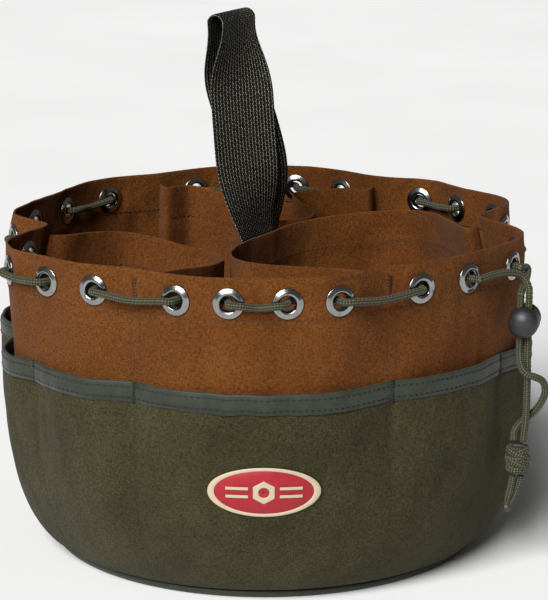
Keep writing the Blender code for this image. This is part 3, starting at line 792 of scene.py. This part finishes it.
def make_wall():
    heights = (arange(WALL_BOTTOM, KNEE_HEIGHT, 22)[:-1]
               + arange(KNEE_HEIGHT, HEIGHT - HEM_DEPTH - 0.3 * MM, 20))
    hem_start = len(heights)
    heights += arange(HEIGHT - HEM_DEPTH + 0.3 * MM, HEIGHT - 0.6 * MM, 12)
    sections = []
    for azimuth in round_azimuths(480):
        points = [wall_point(azimuth, height) for height in heights]
        normals = [wall_normal(azimuth, height) for height in heights]
        sections.append(cloth_section(points, normals, 1.2 * MM, 1.2 * MM, hem_start))
    wall = ring_piece("canvas_wall", sections, DUCK, "outer_wall")
    shape = bmesh.new()
    for _, centre, along, normal in GROMMETS:
        turn = Matrix((along, UP, normal)).transposed().to_4x4()
        bmesh.ops.create_cone(shape, cap_ends=True, segments=24, radius1=GROMMET_HOLE + 0.5 * MM,
                              radius2=GROMMET_HOLE + 0.5 * MM, depth=9 * MM,
                              matrix=Matrix.Translation(centre) @ turn)
    apply_cut(wall, place_object("hole_cutters", mesh_of("hole_cutters", shape)))


def apply_cut(piece, tool):
    """Cuts the tool out of the piece, then removes it."""
    boolean = piece.modifiers.new("holes", "BOOLEAN")
    boolean.operation = "DIFFERENCE"
    boolean.solver = "EXACT"
    boolean.object = tool
    graph = bpy.context.evaluated_depsgraph_get()
    result = bpy.data.meshes.new_from_object(piece.evaluated_get(graph))
    piece.modifiers.clear()
    old = piece.data
    piece.data = result
    bpy.data.meshes.remove(old)
    mesh = tool.data
    bpy.data.objects.remove(tool)
    bpy.data.meshes.remove(mesh)


def wall_line(azimuths, heights, offset):
    """(point, normal) pairs along the wall's outer side, or inside if offset is negative."""
    line = []
    for azimuth, height in zip(azimuths, heights):
        normal = wall_normal(azimuth, height)
        side = normal if offset > 0 else -normal
        line.append((wall_point(azimuth, height) + normal * offset, side))
    return line


def make_wall_stitching():
    azimuths = arange(0.0, 360.0, 240)
    low = HEIGHT - HEM_DEPTH + 2.5 * MM
    outer = wall_line(azimuths, [low] * len(azimuths), 0.78 * MM)
    inner = wall_line(azimuths, [low] * len(azimuths), -0.62 * MM - 0.6 * MM)
    stitch_piece("hem_stitching", [outer, inner], BROWN_THREAD, pitch=3.2 * MM)
    seams = []
    tacks = []
    for _, azimuth, _, _ in GATHERS:
        for spread in (-1.1, 1.1):
            heights = arange(BAND_HEIGHT + 3 * MM, HEIGHT - HEM_DEPTH, 12)
            seams.append(wall_line([azimuth + spread] * len(heights), heights, 0.62 * MM))
        normal = wall_normal(azimuth, HEIGHT - 10 * MM)
        centre = wall_point(azimuth, HEIGHT - 12 * MM) + normal * 0.85 * MM
        tacks.append(bartack(centre, normal, 15 * MM, 3.2 * MM, 18))
    stitch_piece("seam_stitching", seams, BROWN_THREAD, pitch=3.0 * MM, radius=0.25 * MM)
    stitch_piece("rim_bartacks", tacks, BROWN_THREAD, pitch=3.4 * MM, length=3.4 * MM,
                 radius=0.34 * MM)


# ---- Pocket band ----

def band_offset(share, height, pockets):
    """Middle of the pocket band from the middle of the wall: tight at its seams."""
    fullness = abs(math.sin(math.pi * share * pockets)) ** 0.85
    rise = ease((height - 4 * MM) / (0.8 * BAND_HEIGHT))
    return BAND_SEAM_STANDOFF + BAND_BELLY * fullness * rise


def band_place(azimuth):
    """The panel's pocket count and how far along the panel the azimuth is."""
    for index in range(len(GATHERS)):
        name, start, end = panel_span(index)
        turned = start + (azimuth - start) % 360.0
        if turned <= end + 1e-6:
            return POCKETS[name], (turned - start) / (end - start)
    return 1, 0.0


def band_point(azimuth, height):
    pockets, share = band_place(azimuth)
    offset = band_offset(share, height, pockets)
    settle = wrinkle(azimuth, height, 40.0) * 0.5 * ease(height / 0.05)
    fullness = abs(math.sin(math.pi * share * pockets))
    return (wall_point(azimuth, height)
            + wall_normal(azimuth, height) * (offset + settle * fullness))


def band_normal(azimuth, height):
    along = band_point(azimuth + 0.3, height) - band_point(azimuth - 0.3, height)
    rise = band_point(azimuth, height + MM) - band_point(azimuth, height - MM)
    return along.cross(rise).normalized()


def make_band():
    heights = (arange(WALL_BOTTOM, KNEE_HEIGHT, 26)[:-1]
               + arange(KNEE_HEIGHT, BAND_HEIGHT - 0.6 * MM, 14))
    sections = []
    for azimuth in round_azimuths(BAND_COLUMNS):
        points = [band_point(azimuth, height) for height in heights]
        normals = [band_normal(azimuth, height) for height in heights]
        sections.append(cloth_section(points, normals, 0.8 * MM))
    panels = ["pocket_panel_" + str(index + 1) for index in range(len(GATHERS))]
    band = ring_piece("pocket_band", sections, RIPSTOP, *panels)


def make_binding():
    """Tape folded over the band's top edge, a little wavy."""
    depth = 10.0 * MM
    half = 0.95 * MM
    thickness = 0.55 * MM
    profile = ([(half, -depth), (half + 0.1 * MM, -depth * 0.6), (half + 0.12 * MM, -depth * 0.3)]
               + [(half * math.cos(angle), half * math.sin(angle))
                  for angle in (math.radians(degrees) for degrees in range(0, 181, 30))]
               + [(-half, -depth * 0.4), (-half, -depth)])
    inner = [(offset * (half - thickness) / half, rise - (thickness if rise > 0 else 0.0))
             for offset, rise in reversed(profile)]
    sections = []
    for azimuth in round_azimuths(BAND_COLUMNS):
        top = band_point(azimuth, BAND_HEIGHT)
        normal = band_normal(azimuth, BAND_HEIGHT - 4 * MM)
        wave = noise.noise(Vector((azimuth * 0.11, 3.0, 0.0))) * 0.6 * MM
        wave += noise.noise(Vector((azimuth * 0.5, 9.0, 0.0))) * 0.2 * MM
        sections.append([top + normal * offset + UP * (rise + (wave if rise < 0 else 0.0))
                         for offset, rise in profile + inner])
    ring_piece("pocket_binding_tape", sections, TAPE, "pocket_binding")
    rows = []
    for drop in (1.9 * MM, 8.0 * MM):
        line = []
        for azimuth in arange(0.0, 360.0, 360):
            normal = band_normal(azimuth, BAND_HEIGHT - 4 * MM)
            point = band_point(azimuth, BAND_HEIGHT) + normal * (half + 0.12 * MM) - UP * drop
            line.append((point, normal))
        rows.append(line)
    stitch_piece("binding_stitching", rows, DARK_THREAD, pitch=3.3 * MM, length=2.6 * MM,
                 radius=0.3 * MM)


def pocket_seams():
    """Azimuths where the band is sewn to the wall."""
    seams = []
    for index, gather in enumerate(GATHERS):
        pockets = POCKETS[gather[0]]
        seams += along_panel(index, [pocket / pockets for pocket in range(pockets)])
    return seams


def make_pocket_stitching():
    lines = []
    tacks = []
    for azimuth in pocket_seams():
        heights = arange(9 * MM, BAND_HEIGHT - 12 * MM, 30)
        line = []
        for height in heights:
            normal = band_normal(azimuth, height)
            line.append((band_point(azimuth, height) + normal * 0.42 * MM, normal))
        lines.append(line)
        height = BAND_HEIGHT - 4.5 * MM
        normal = wall_normal(azimuth, height)
        centre = band_point(azimuth, height) + normal * 1.3 * MM
        tacks.append(bartack(centre, normal, 12 * MM, 2.6 * MM, 16))
    stitch_piece("pocket_stitching", lines, DARK_THREAD, pitch=3.0 * MM, radius=0.26 * MM)
    stitch_piece("pocket_bartacks", tacks, DARK_THREAD, pitch=2.8 * MM, length=2.9 * MM,
                 radius=0.36 * MM)


# ---- Dividers ----

def petal_path(name, columns):
    first, second, middle = PETALS[name]
    azimuths = {gather[0]: gather[1] for gather in GATHERS}
    ends = [plain_wall(azimuths[end], HEIGHT) - outward(azimuths[end]) * PETAL_END_CLEARANCE
            for end in (first, second)]
    seams = [WALL_CENTRE + (end - WALL_CENTRE) * 0.93 for end in ends]
    for seam in seams:
        seam.z = HEIGHT
    inner = [Vector((x, y, 0.0)) * MM + SHIFT for x, y in middle]
    for point in inner:
        point.z = HEIGHT
    route = [ends[0], seams[0], *inner, seams[1], ends[1]]
    return resample(smooth_curve(route, 16), columns), ends, (azimuths[first], azimuths[second])


def petal_top(across):
    return PETAL_NOSE_TOP + (PETAL_END_TOP - PETAL_NOSE_TOP) * ease(abs(2.0 * across - 1.0))


def petal_grid(name, columns, shares):
    """Columns of points up a divider, shares being parts of its height."""
    path, ends, azimuths = petal_path(name, columns)
    seed = sum(map(ord, name)) % 50
    grid = []
    for column, point in enumerate(path):
        across = column / columns
        top = petal_top(across)
        line = []
        for share in shares:
            height = PETAL_BOTTOM + (top - PETAL_BOTTOM) * share
            shrink = []
            for azimuth, end in zip(azimuths, ends):
                radius = wall_radius(azimuth, height) - PETAL_END_CLEARANCE
                shrink.append(radius / (end - WALL_CENTRE).xy.length)
            scale = shrink[0] + (shrink[1] - shrink[0]) * across
            flat = WALL_CENTRE + (point - WALL_CENTRE) * scale
            line.append(Vector((flat.x, flat.y, height)))
        grid.append(line)
    normals = grid_normals(grid)
    for column, (line, line_normals) in enumerate(zip(grid, normals)):
        free = ease(min(column, columns - column) / (0.08 * columns))
        for point, normal in zip(line, line_normals):
            sway = noise.noise(Vector((point.x / 0.03, point.y / 0.03, point.z / 0.06 + seed)))
            fine = noise.noise(Vector((point.x / 0.011, point.y / 0.011, point.z / 0.03 + seed)))
            point += normal * (sway * 1.6 * MM + fine * 0.5 * MM) * free
    return grid, grid_normals(grid)


def grid_normals(grid):
    normals = []
    for column in range(len(grid)):
        before, after = grid[max(column - 1, 0)], grid[min(column + 1, len(grid) - 1)]
        line = []
        for row in range(len(grid[0])):
            rise = grid[column][min(row + 1, len(grid[0]) - 1)] - grid[column][max(row - 1, 0)]
            line.append((after[row] - before[row]).cross(rise).normalized())
        normals.append(line)
    return normals


def make_divider(name):
    columns = 190
    hem_share = 1.0 - 21.0 * MM / (PETAL_NOSE_TOP - PETAL_BOTTOM)
    shares = arange(0.0, hem_share - 0.002, 22)
    hem_start = len(shares)
    shares += arange(hem_share + 0.002, 0.996, 10)
    grid, normals = petal_grid(name, columns, shares)
    sections = [cloth_section(line, line_normals, 1.2 * MM, 1.0 * MM, hem_start)
                for line, line_normals in zip(grid, normals)]
    length = curve_length([line[-1] for line in grid])
    mesh = swept("canvas_" + name, sections, along_step=length / columns)
    piece = add_piece("canvas_" + name, mesh, DUCK)
    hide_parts(name)
    row = hem_start + 1
    lines = []
    for side in (1, -1):
        offset = 0.8 * MM if side > 0 else -0.5 * MM
        lines.append([(line[row] + line_normals[row] * offset, line_normals[row] * side)
                      for line, line_normals in zip(grid[3:-3], normals[3:-3])])
    stitch_piece(name + "_stitching", lines, BROWN_THREAD, pitch=3.2 * MM)


# ---- Base ----

def make_base_piping():
    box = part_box("base_binding")
    inner, outer = BASE_TAPE_INNER, (box[1].x - box[0].x) / 2
    top = box[1].z
    profile = [(inner, 0.0), (outer - 1.8 * MM, 0.0), (outer - 0.5 * MM, 0.5 * MM),
               (outer, 1.6 * MM), (outer, top - 1.2 * MM), (outer - 0.5 * MM, top - 0.2 * MM),
               (outer - 1.6 * MM, top), (inner, top)]
    middle = Matrix.Translation(WALL_CENTRE)
    turned_piece("base_piping", profile, 240, middle, TAPE, "base_binding")
    disc = inner - 0.3 * MM
    rings = [disc * step / 12 for step in range(1, 13)]
    upper = [(radius, 2.0 * MM + 0.35 * MM * math.sin(radius / (9 * MM))) for radius in rings]
    profile = [(0.4 * MM, 0.0), (disc, 0.0), *reversed(upper), (0.4 * MM, 2.0 * MM)]
    turned_piece("base_cloth", profile, 120, middle, DUCK, "base_panel")


# ---- Grommets ----

def make_grommets():
    seat = 1.35 * MM
    crest = seat + 1.25 * MM
    hole, rim = GROMMET_HOLE, GROMMET_RADIUS
    half = [(hole, 0.0), (hole, seat - 0.1 * MM), (hole + 0.12 * MM, crest - 0.75 * MM),
            (hole + 0.45 * MM, crest - 0.28 * MM), (hole + 0.95 * MM, crest - 0.04 * MM),
            (hole + 1.35 * MM, crest), (hole + 1.8 * MM, crest - 0.08 * MM),
            (hole + 2.4 * MM, crest - 0.34 * MM), (rim - 0.9 * MM, seat + 0.55 * MM),
            (rim - 0.35 * MM, seat + 0.36 * MM), (rim, seat + 0.14 * MM), (rim - 0.1 * MM, seat)]
    barrel = hole + 0.4 * MM
    profile = (half + [(barrel, seat - 0.05 * MM), (barrel, -seat + 0.05 * MM)]
               + [(radius, -height) for radius, height in reversed(half[1:])])
    for number, (_, centre, along, normal) in enumerate(GROMMETS, 1):
        turn = Matrix((along, UP, normal)).transposed().to_4x4()
        turned_piece("eyelet_" + str(number), profile[::-1], 40,
                     Matrix.Translation(centre) @ turn, NICKEL, "grommet_" + str(number))


# ---- Drawstring ----

def braid_relief(angle, travelled):
    """Strands of a braided sheath standing up a little."""
    along = travelled / (2.4 * MM) * 2 * math.pi
    one = math.sin(along + 4 * angle)
    two = math.sin(along - 4 * angle)
    return 0.94 + 0.09 * max(one, two)


def evenly(path, step):
    return resample(path, round(curve_length(path) / step))


def cord_piece(name, path, replaced, taper=None):
    mesh = tube_mesh(name, path, CORD_RADIUS, 16, braid_relief, taper)
    piece = add_piece(name, mesh, PARACORD)
    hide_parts(replaced)
    return piece


def lace_points(azimuth, from_side, to_side):
    """Points through one grommet, going towards smaller azimuths."""
    centre, along, normal = grommet_frame(azimuth)
    heading = -along
    points = []
    for (run, rise), sense, side in ((LACE_SHOULDER, -1, from_side), (LACE_MOUTH, -1, from_side),
                                     ((0.0, 0.0), 1, 1), (LACE_MOUTH, 1, to_side),
                                     (LACE_SHOULDER, 1, to_side)):
        points.append(centre + heading * run * sense + normal * rise * side)
    return points


def lace_middle(before, after, azimuths, side):
    """Between two grommets the cord lies near the cloth, or spans a gather."""
    middle = (before + after) / 2
    middle.z -= LACE_SAG
    if abs(azimuth_difference(*azimuths)) < 16.0:
        azimuth = azimuths[1] + azimuth_difference(azimuths[0], azimuths[1]) / 2
        surface = wall_point(azimuth, middle.z)
        normal = wall_normal(azimuth, middle.z)
        away = (middle - surface).dot(normal)
        wanted = 3.9 * MM * side
        middle += normal * (wanted - away) * (1.0 if away * side > 3.9 * MM else 0.0)
    return middle


def lace_order():
    """Azimuths of the grommets in the order that the cord passes them."""
    order = []
    names = [gather[0] for gather in GATHERS]
    start = names.index("front_right")
    for step in range(len(GATHERS) + 1):
        panel = (start - step) % len(GATHERS)
        order += reversed(along_panel(panel, GROMMET_SHARES[names[panel]]))
    return order[2:2 + len(GROMMETS)]


def make_drawstring():
    points = []
    side = 1
    previous = None
    for azimuth in lace_order():
        through = lace_points(azimuth, side, -side)
        if points:
            points.append(lace_middle(points[-1], through[0], (previous, azimuth), side))
        points += through
        side = -side
        previous = azimuth
    cord_piece("laced_cord", evenly(smooth_curve(points[1:-1], 8), 0.55 * MM), "drawstring")
    return (points[1], points[1] - points[2]), (points[-2], points[-2] - points[-3])


def make_free_ends(left_mouth, right_mouth):
    """The two loose ends, their knot and their tails."""
    tails = [make_knot(), *make_tails()]
    for name, (mouth, direction), route in (("left", left_mouth, LEFT_END_ROUTE),
                                            ("right", right_mouth, RIGHT_END_ROUTE)):
        direction.normalize()
        start = mouth + direction * 0.3 * MM
        bend = start + direction * CORD_RADIUS
        path = [start, *smooth_curve([bend, *from_bag(route)], 10)]
        path = evenly(path, 0.5 * MM)
        piece = cord_piece("loose_cord_" + name, path, "cord_end_" + name)


def make_knot():
    """Two cords wound about each other in an overhand knot."""
    meshes = []
    wraps = ((0.0, 0.0, 1.9, 4.6, 0.35), (2.4, 0.25, 2.1, 4.9, -0.45), (4.4, 0.55, 1.6, 4.2, 0.9))
    for number, (phase, lift, turns, radius, tilt) in enumerate(wraps):
        points = []
        steps = round(turns * 14)
        for step in range(steps + 1):
            share = step / steps
            angle = phase + 2 * math.pi * turns * share
            rise = (0.5 - share) * (KNOT_RADII.z * 1.15 - number * 1.5 * MM)
            narrow = math.sqrt(max(0.12, 1.0 - (rise / KNOT_RADII.z) ** 2))
            x = math.cos(angle) * radius * MM * narrow * 1.08
            y = math.sin(angle) * radius * MM * narrow * 0.92
            points.append(KNOT_CENTRE + Vector((x, y, rise + lift * MM + tilt * x * 0.6)))
        path = resample(smooth_curve(points, 6), steps * 9)
        meshes.append(tube_mesh("wrap", path, CORD_RADIUS * 1.02, 16, braid_relief))
    core = [KNOT_CENTRE + Vector((0.0, 0.0, (0.5 - step / 10) * 1.5 * KNOT_RADII.z))
            for step in range(11)]
    meshes.append(tube_mesh("core", resample(core, 40), CORD_RADIUS * 1.9, 16))
    knot = add_piece("overhand_knot", joined("overhand_knot", meshes), PARACORD)
    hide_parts("cord_knot")
    return knot


def make_tails():
    made = []
    for name, route in TAIL_ROUTES.items():
        path = smooth_curve(from_bag(route), 10)
        length = curve_length(path)
        made.append(cord_piece(
            "cord_tail_end_" + name, evenly(path, 0.45 * MM), "cord_tail_" + name,
            lambda travelled, length=length:
            1.0 - 0.45 * ease((travelled - 0.55 * length) / (0.45 * length))))
    shape = bmesh.new()
    tip = (from_bag(TAIL_ROUTES["left"])[-1] + from_bag(TAIL_ROUTES["right"])[-1]) / 2
    bmesh.ops.create_uvsphere(shape, u_segments=20, v_segments=14, radius=1.0)
    for vertex in shape.verts:
        lump = 1.0 + 0.18 * noise.noise(vertex.co * 2.3)
        size = Vector((vertex.co.x * 2.5, vertex.co.y * 1.7, vertex.co.z * 2.4)) * MM
        vertex.co = tip + size * lump
    made.append(add_piece("melted_tip", mesh_of("melted_tip", shape), MELTED))
    return made


# ---- Cord lock ----

def lock_matrix():
    """Local Z runs along the lock's axis to the front, local Y is up."""
    front = Matrix.Rotation(math.radians(LOCK_TURN), 3, "Z") @ Vector((0.0, -1.0, 0.0))
    turn = Matrix((UP.cross(front), UP, front)).transposed().to_4x4()
    return Matrix.Translation(LOCK_CENTRE) @ turn


def slot_tool(back, front):
    """The cords' slot through the lock, between two places along its axis."""
    shape = bmesh.new()
    bmesh.ops.create_cube(shape, size=1.0)
    for vertex in shape.verts:
        vertex.co = Vector((vertex.co.x * LOCK_SLOT_WIDTH, vertex.co.y * 40 * MM,
                            (back + front) / 2 + vertex.co.z * (front - back)))
    upright = [edge for edge in shape.edges
               if abs((edge.verts[0].co - edge.verts[1].co).y) > 20 * MM]
    bmesh.ops.bevel(shape, geom=upright, offset=1.4 * MM, segments=4, profile=0.5, affect="EDGES")
    shape.transform(lock_matrix())
    return place_object("slot_tool", mesh_of("slot_tool", shape))


def arc_points(centre, size, start, end, count):
    points = []
    for step in range(count + 1):
        angle = math.radians(start + (end - start) * step / count)
        points.append((centre[0] + size[0] * math.cos(angle),
                       centre[1] + size[1] * math.sin(angle)))
    return points


def make_lock():
    radius, back, front = 8.3 * MM, -3.4 * MM, 10.6 * MM
    dome = 6.0 * MM
    groove = 0.35 * MM
    pole = 0.02 * MM
    outer = [(5.9 * MM, back), *arc_points((radius - 0.8 * MM, back + 0.8 * MM),
                                           (0.8 * MM, 0.8 * MM), -90, 0, 4),
             (radius, 0.2 * MM), (radius - groove, 0.5 * MM), (radius - groove, 1.1 * MM),
             (radius, 1.4 * MM), *arc_points((pole, front - dome), (radius - pole, dome),
                                             0, 90, 14)]
    inner = [(pole, 8.9 * MM), (5.9 * MM, 8.9 * MM)]
    lock_part("lock_barrel", outer + inner, (-2.45 * MM, 2.45 * MM), "lock_body", "lock")
    head = [(pole, -10.9 * MM), (3.4 * MM, -10.7 * MM),
            *arc_points((7.0 * MM, -9.9 * MM), (0.8 * MM, 0.7 * MM), -90, 0, 4),
            (7.8 * MM, -7.6 * MM), (7.1 * MM, -6.9 * MM), (5.55 * MM, -6.9 * MM),
            (5.55 * MM, 4.2 * MM), (pole, 4.2 * MM)]
    lock_part("lock_plunger", head, (-5.5 * MM, 2.35 * MM), "lock_button", "button")
    make_lock_spring()


def lock_part(name, profile, slot, replaced, body):
    part = turned_piece(name, profile, 48, lock_matrix(), BLACK_PLASTIC, replaced, body)
    apply_cut(part, slot_tool(*slot))
    part.data.set_sharp_from_angle(angle=math.radians(40.0))


def make_lock_spring():
    near, far, radius, coils = 4.8 * MM, 8.3 * MM, 3.6 * MM, 5
    points = []
    for step in range(181):
        angle = 2 * math.pi * coils * step / 180
        points.append(lock_matrix() @ Vector((radius * math.cos(angle), radius * math.sin(angle),
                                              near + (far - near) * step / 180)))
    spring = add_piece("lock_coil", tube_mesh("lock_coil", points, 0.3 * MM, 10), STEEL, "lock")
    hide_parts("lock_spring")
    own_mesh(spring)


# ---- Handle ----

def handle_route():
    """The strap's middle line from its near foot, over the loop, to its far foot."""
    width = Vector((math.cos(HANDLE_TURN), math.sin(HANDLE_TURN), 0.0))
    behind = Vector((-math.sin(HANDLE_TURN), math.cos(HANDLE_TURN), 0.0))
    near = NEAR_FOOT
    far = near + width * FAR_FOOT_OFFSET[0] + behind * FAR_FOOT_OFFSET[1]
    seam = 0.155
    height = HANDLE_TOP - HANDLE_BOTTOM
    turn = HANDLE_SPREAD / 2
    near_top = near + HANDLE_LEAN
    far_top = near_top + behind * HANDLE_SPREAD
    route = [near + UP * level for level in (HANDLE_FOOT_BOTTOM, seam, 0.166)]
    for share, lean in ((0.0, 0.3), (0.3, 0.62), (0.62, 0.86), (0.84, 1.0)):
        route.append(near.lerp(near_top, lean) + UP * (HANDLE_BOTTOM + height * share))
    crown = (near_top + far_top) / 2 + UP * (HANDLE_TOP - HANDLE_THICKNESS / 2 - turn)
    for step in range(7):
        angle = math.pi * step / 6
        route.append(crown - behind * turn * math.cos(angle) + UP * turn * math.sin(angle))
    for share in (0.84, 0.62, 0.3, 0.0):
        route.append(far.lerp(far_top, ease(share)) + UP * (HANDLE_BOTTOM + height * share))
    route += [far + UP * level for level in (0.17, seam, HANDLE_FOOT_BOTTOM)]
    return route, width


TWIST_START, TWIST_RUN = 0.164, 0.05
UNTWIST_START, UNTWIST_RUN = 0.248, 0.042


def handle_twist(height):
    """How far the strap has turned to face the front, as an angle."""
    rise = (ease((height - TWIST_START) / TWIST_RUN)
            * (1.0 - ease((height - UNTWIST_START) / UNTWIST_RUN)))
    return -math.radians(HANDLE_TWIST) * rise


def web_relief(along, across):
    """Height of the woven ribs on the webbing's face, 0 to 1."""
    rib = 0.5 + 0.5 * math.cos(2 * math.pi * across / WEB_COLUMN)
    parity = 1.0 if math.sin(math.pi * across / WEB_COLUMN) >= 0 else -1.0
    pick = 0.5 + 0.5 * math.cos(2 * math.pi * along / WEB_PICK + parity * math.pi / 2)
    return 1.0 - rib * pick


def make_handle():
    route, straight = handle_route()
    path = evenly(smooth_curve(route, 12), 0.6 * MM)
    columns = len(path) - 1
    step = curve_length(path) / columns
    rows = 76
    half = HANDLE_THICKNESS / 2
    relief = 0.28 * MM
    sections = []
    for index, point in enumerate(path):
        tangent = (path[min(index + 1, columns)] - path[max(index - 1, 0)]).normalized()
        width = Matrix.Rotation(handle_twist(point.z), 3, "Z") @ straight
        normal = width.cross(tangent).normalized()
        along = index * step
        cup = 0.5 * MM * math.sin(along / 0.05)
        faces = ([], [])
        for row in range(rows + 1):
            across = row / rows - 0.5
            place = (across + 0.5) * HANDLE_WIDTH
            edge = math.sqrt(max(0.0, 1.0 - (abs(across) * 2) ** 24))
            rise = (half - relief + relief * web_relief(along, place)) * (0.25 + 0.75 * edge)
            middle = point + width * across * HANDLE_WIDTH + normal * cup * (4 * across * across)
            faces[0].append(middle + normal * rise)
            faces[1].append(middle - normal * rise)
        sections.append(faces[0] + faces[1][::-1])
    mesh = swept("webbing_strap", sections, along_step=step)
    strap = add_piece("webbing_strap", mesh, WEBBING, None)
    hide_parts("handle_loop", "handle_foot_near", "handle_foot_far")
    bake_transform(strap)


# ---- Badge ----

def badge_point(x, z, lift):
    """A point over the badge, x and z from -1 to 1 across the whole oval."""
    side = x * BADGE_SIZE[0] / 2
    height = BADGE_HEIGHT + z * BADGE_SIZE[1] / 2
    azimuth = math.degrees(side / WAIST_RADIUS)
    normal = wall_normal(azimuth, height)
    pockets, share = band_place(azimuth)
    offset = band_offset(share, height, pockets) + 0.9 * MM + lift
    return wall_point(azimuth, height) + normal * offset


def oval_ring(name, inner, outer, lift, thickness, material):
    """A raised oval band between two shares of the badge's size."""
    rounding = 0.012
    profile = [(inner, 0.0), (outer, 0.0), (outer, thickness * 0.6),
               (outer - rounding, thickness), (inner + rounding, thickness),
               (inner, thickness * 0.6)]
    segments = 96
    sections = []
    for segment in range(segments):
        angle = 2 * math.pi * segment / segments
        x, z = math.cos(angle), math.sin(angle)
        sections.append([badge_point(x * share, z * share, lift + rise)
                         for share, rise in profile])
    return add_piece(name, swept(name, sections, ring=True), material)


def make_badge():
    backing = oval_ring("badge_backing", 0.02, 1.0, -0.3 * MM, 0.6 * MM, DARK_THREAD)
    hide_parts("badge")
    oval_ring("badge_rim", 0.86, 0.985, 0.3 * MM, 0.55 * MM, CREAM)
    oval_ring("badge_field", 0.02, 0.865, 0.25 * MM, 0.35 * MM, RED)
    make_badge_emblem()


def make_badge_emblem():
    """A plain emblem: a hexagonal nut with two bars on each side."""
    squash = BADGE_SIZE[1] / BADGE_SIZE[0]
    sections = []
    for corner in range(72):
        angle = 2 * math.pi * corner / 72
        sector = (angle + math.pi / 6) % (math.pi / 3) - math.pi / 6
        edge = 0.40 / math.cos(sector)
        rings = ((0.2, 0.0), (edge, 0.0), (edge - 0.03, 0.4 * MM), (0.23, 0.4 * MM))
        sections.append([badge_point(math.cos(angle) * ring * squash, math.sin(angle) * ring,
                                     0.6 * MM + rise) for ring, rise in rings])
    meshes = [swept("nut", sections, ring=True)]
    bar_start, bar_end = 0.27, 0.66
    for side in (-1, 1):
        for level in (0.16, -0.16):
            sections = []
            for step in range(13):
                x = side * (bar_start + (bar_end - bar_start) * step / 12)
                sections.append([badge_point(x, level + dz, 0.55 * MM + rise) for dz, rise in
                                 ((-0.06, 0.0), (0.06, 0.0),
                                  (0.05, 0.35 * MM), (-0.05, 0.35 * MM))])
            meshes.append(swept("bar", sections if side > 0 else sections[::-1]))
    add_piece("badge_emblem", joined("badge_emblem", meshes), CREAM, smooth=False)


# ---- Studio ----

def make_studio():
    shape = bmesh.new()
    bmesh.ops.create_grid(shape, x_segments=2, y_segments=2, size=12.0)
    floor = place_object("floor", mesh_of("floor", shape))
    material, tree, shader = new_material("pale_floor")
    place = object_place(tree)
    cloudy = noise_output(tree, place, 3.0, 3.0)
    link(tree, (ramp(tree, cloudy, ((0.3, (0.86, 0.86, 0.855)), (0.7, (0.90, 0.90, 0.895)))),
                shader.inputs["Base Color"]))
    set_finish(shader, Roughness=0.9)
    floor.data.materials.append(material)
    world = bpy.data.worlds.new("studio")
    bpy.context.scene.world = world
    world.use_nodes = True
    background = world.node_tree.nodes["Background"]
    background.inputs["Color"].default_value = (1.0, 1.0, 1.0, 1.0)
    background.inputs["Strength"].default_value = 0.1
    sun = bpy.data.lights.new("key", "SUN")
    sun.energy = 4.9
    sun.angle = 0.6
    lamp = place_object("key", sun)
    lamp.rotation_euler = Vector((-0.38, -0.75, 0.62)).to_track_quat("Z", "Y").to_euler()
    bpy.context.scene.view_settings.view_transform = "Standard"


def make_camera():
    camera = bpy.data.cameras.new("camera")
    camera.sensor_fit = "VERTICAL"
    camera.sensor_height = 36.0
    camera.lens = 139.74
    viewpoint = place_object("camera", camera)
    viewpoint.location = (7.9 * MM, -1.3, 0.461)
    viewpoint.rotation_euler = (math.radians(75.9), 0.0, 0.0)
    bpy.context.scene.camera = viewpoint


make_camera()
make_free_ends(*make_drawstring())
make_wall()
make_wall_stitching()
make_band()
make_binding()
make_pocket_stitching()
for petal in PETALS:
    make_divider(petal)
make_base_piping()
make_grommets()
make_lock()
make_handle()
make_badge()
make_studio()
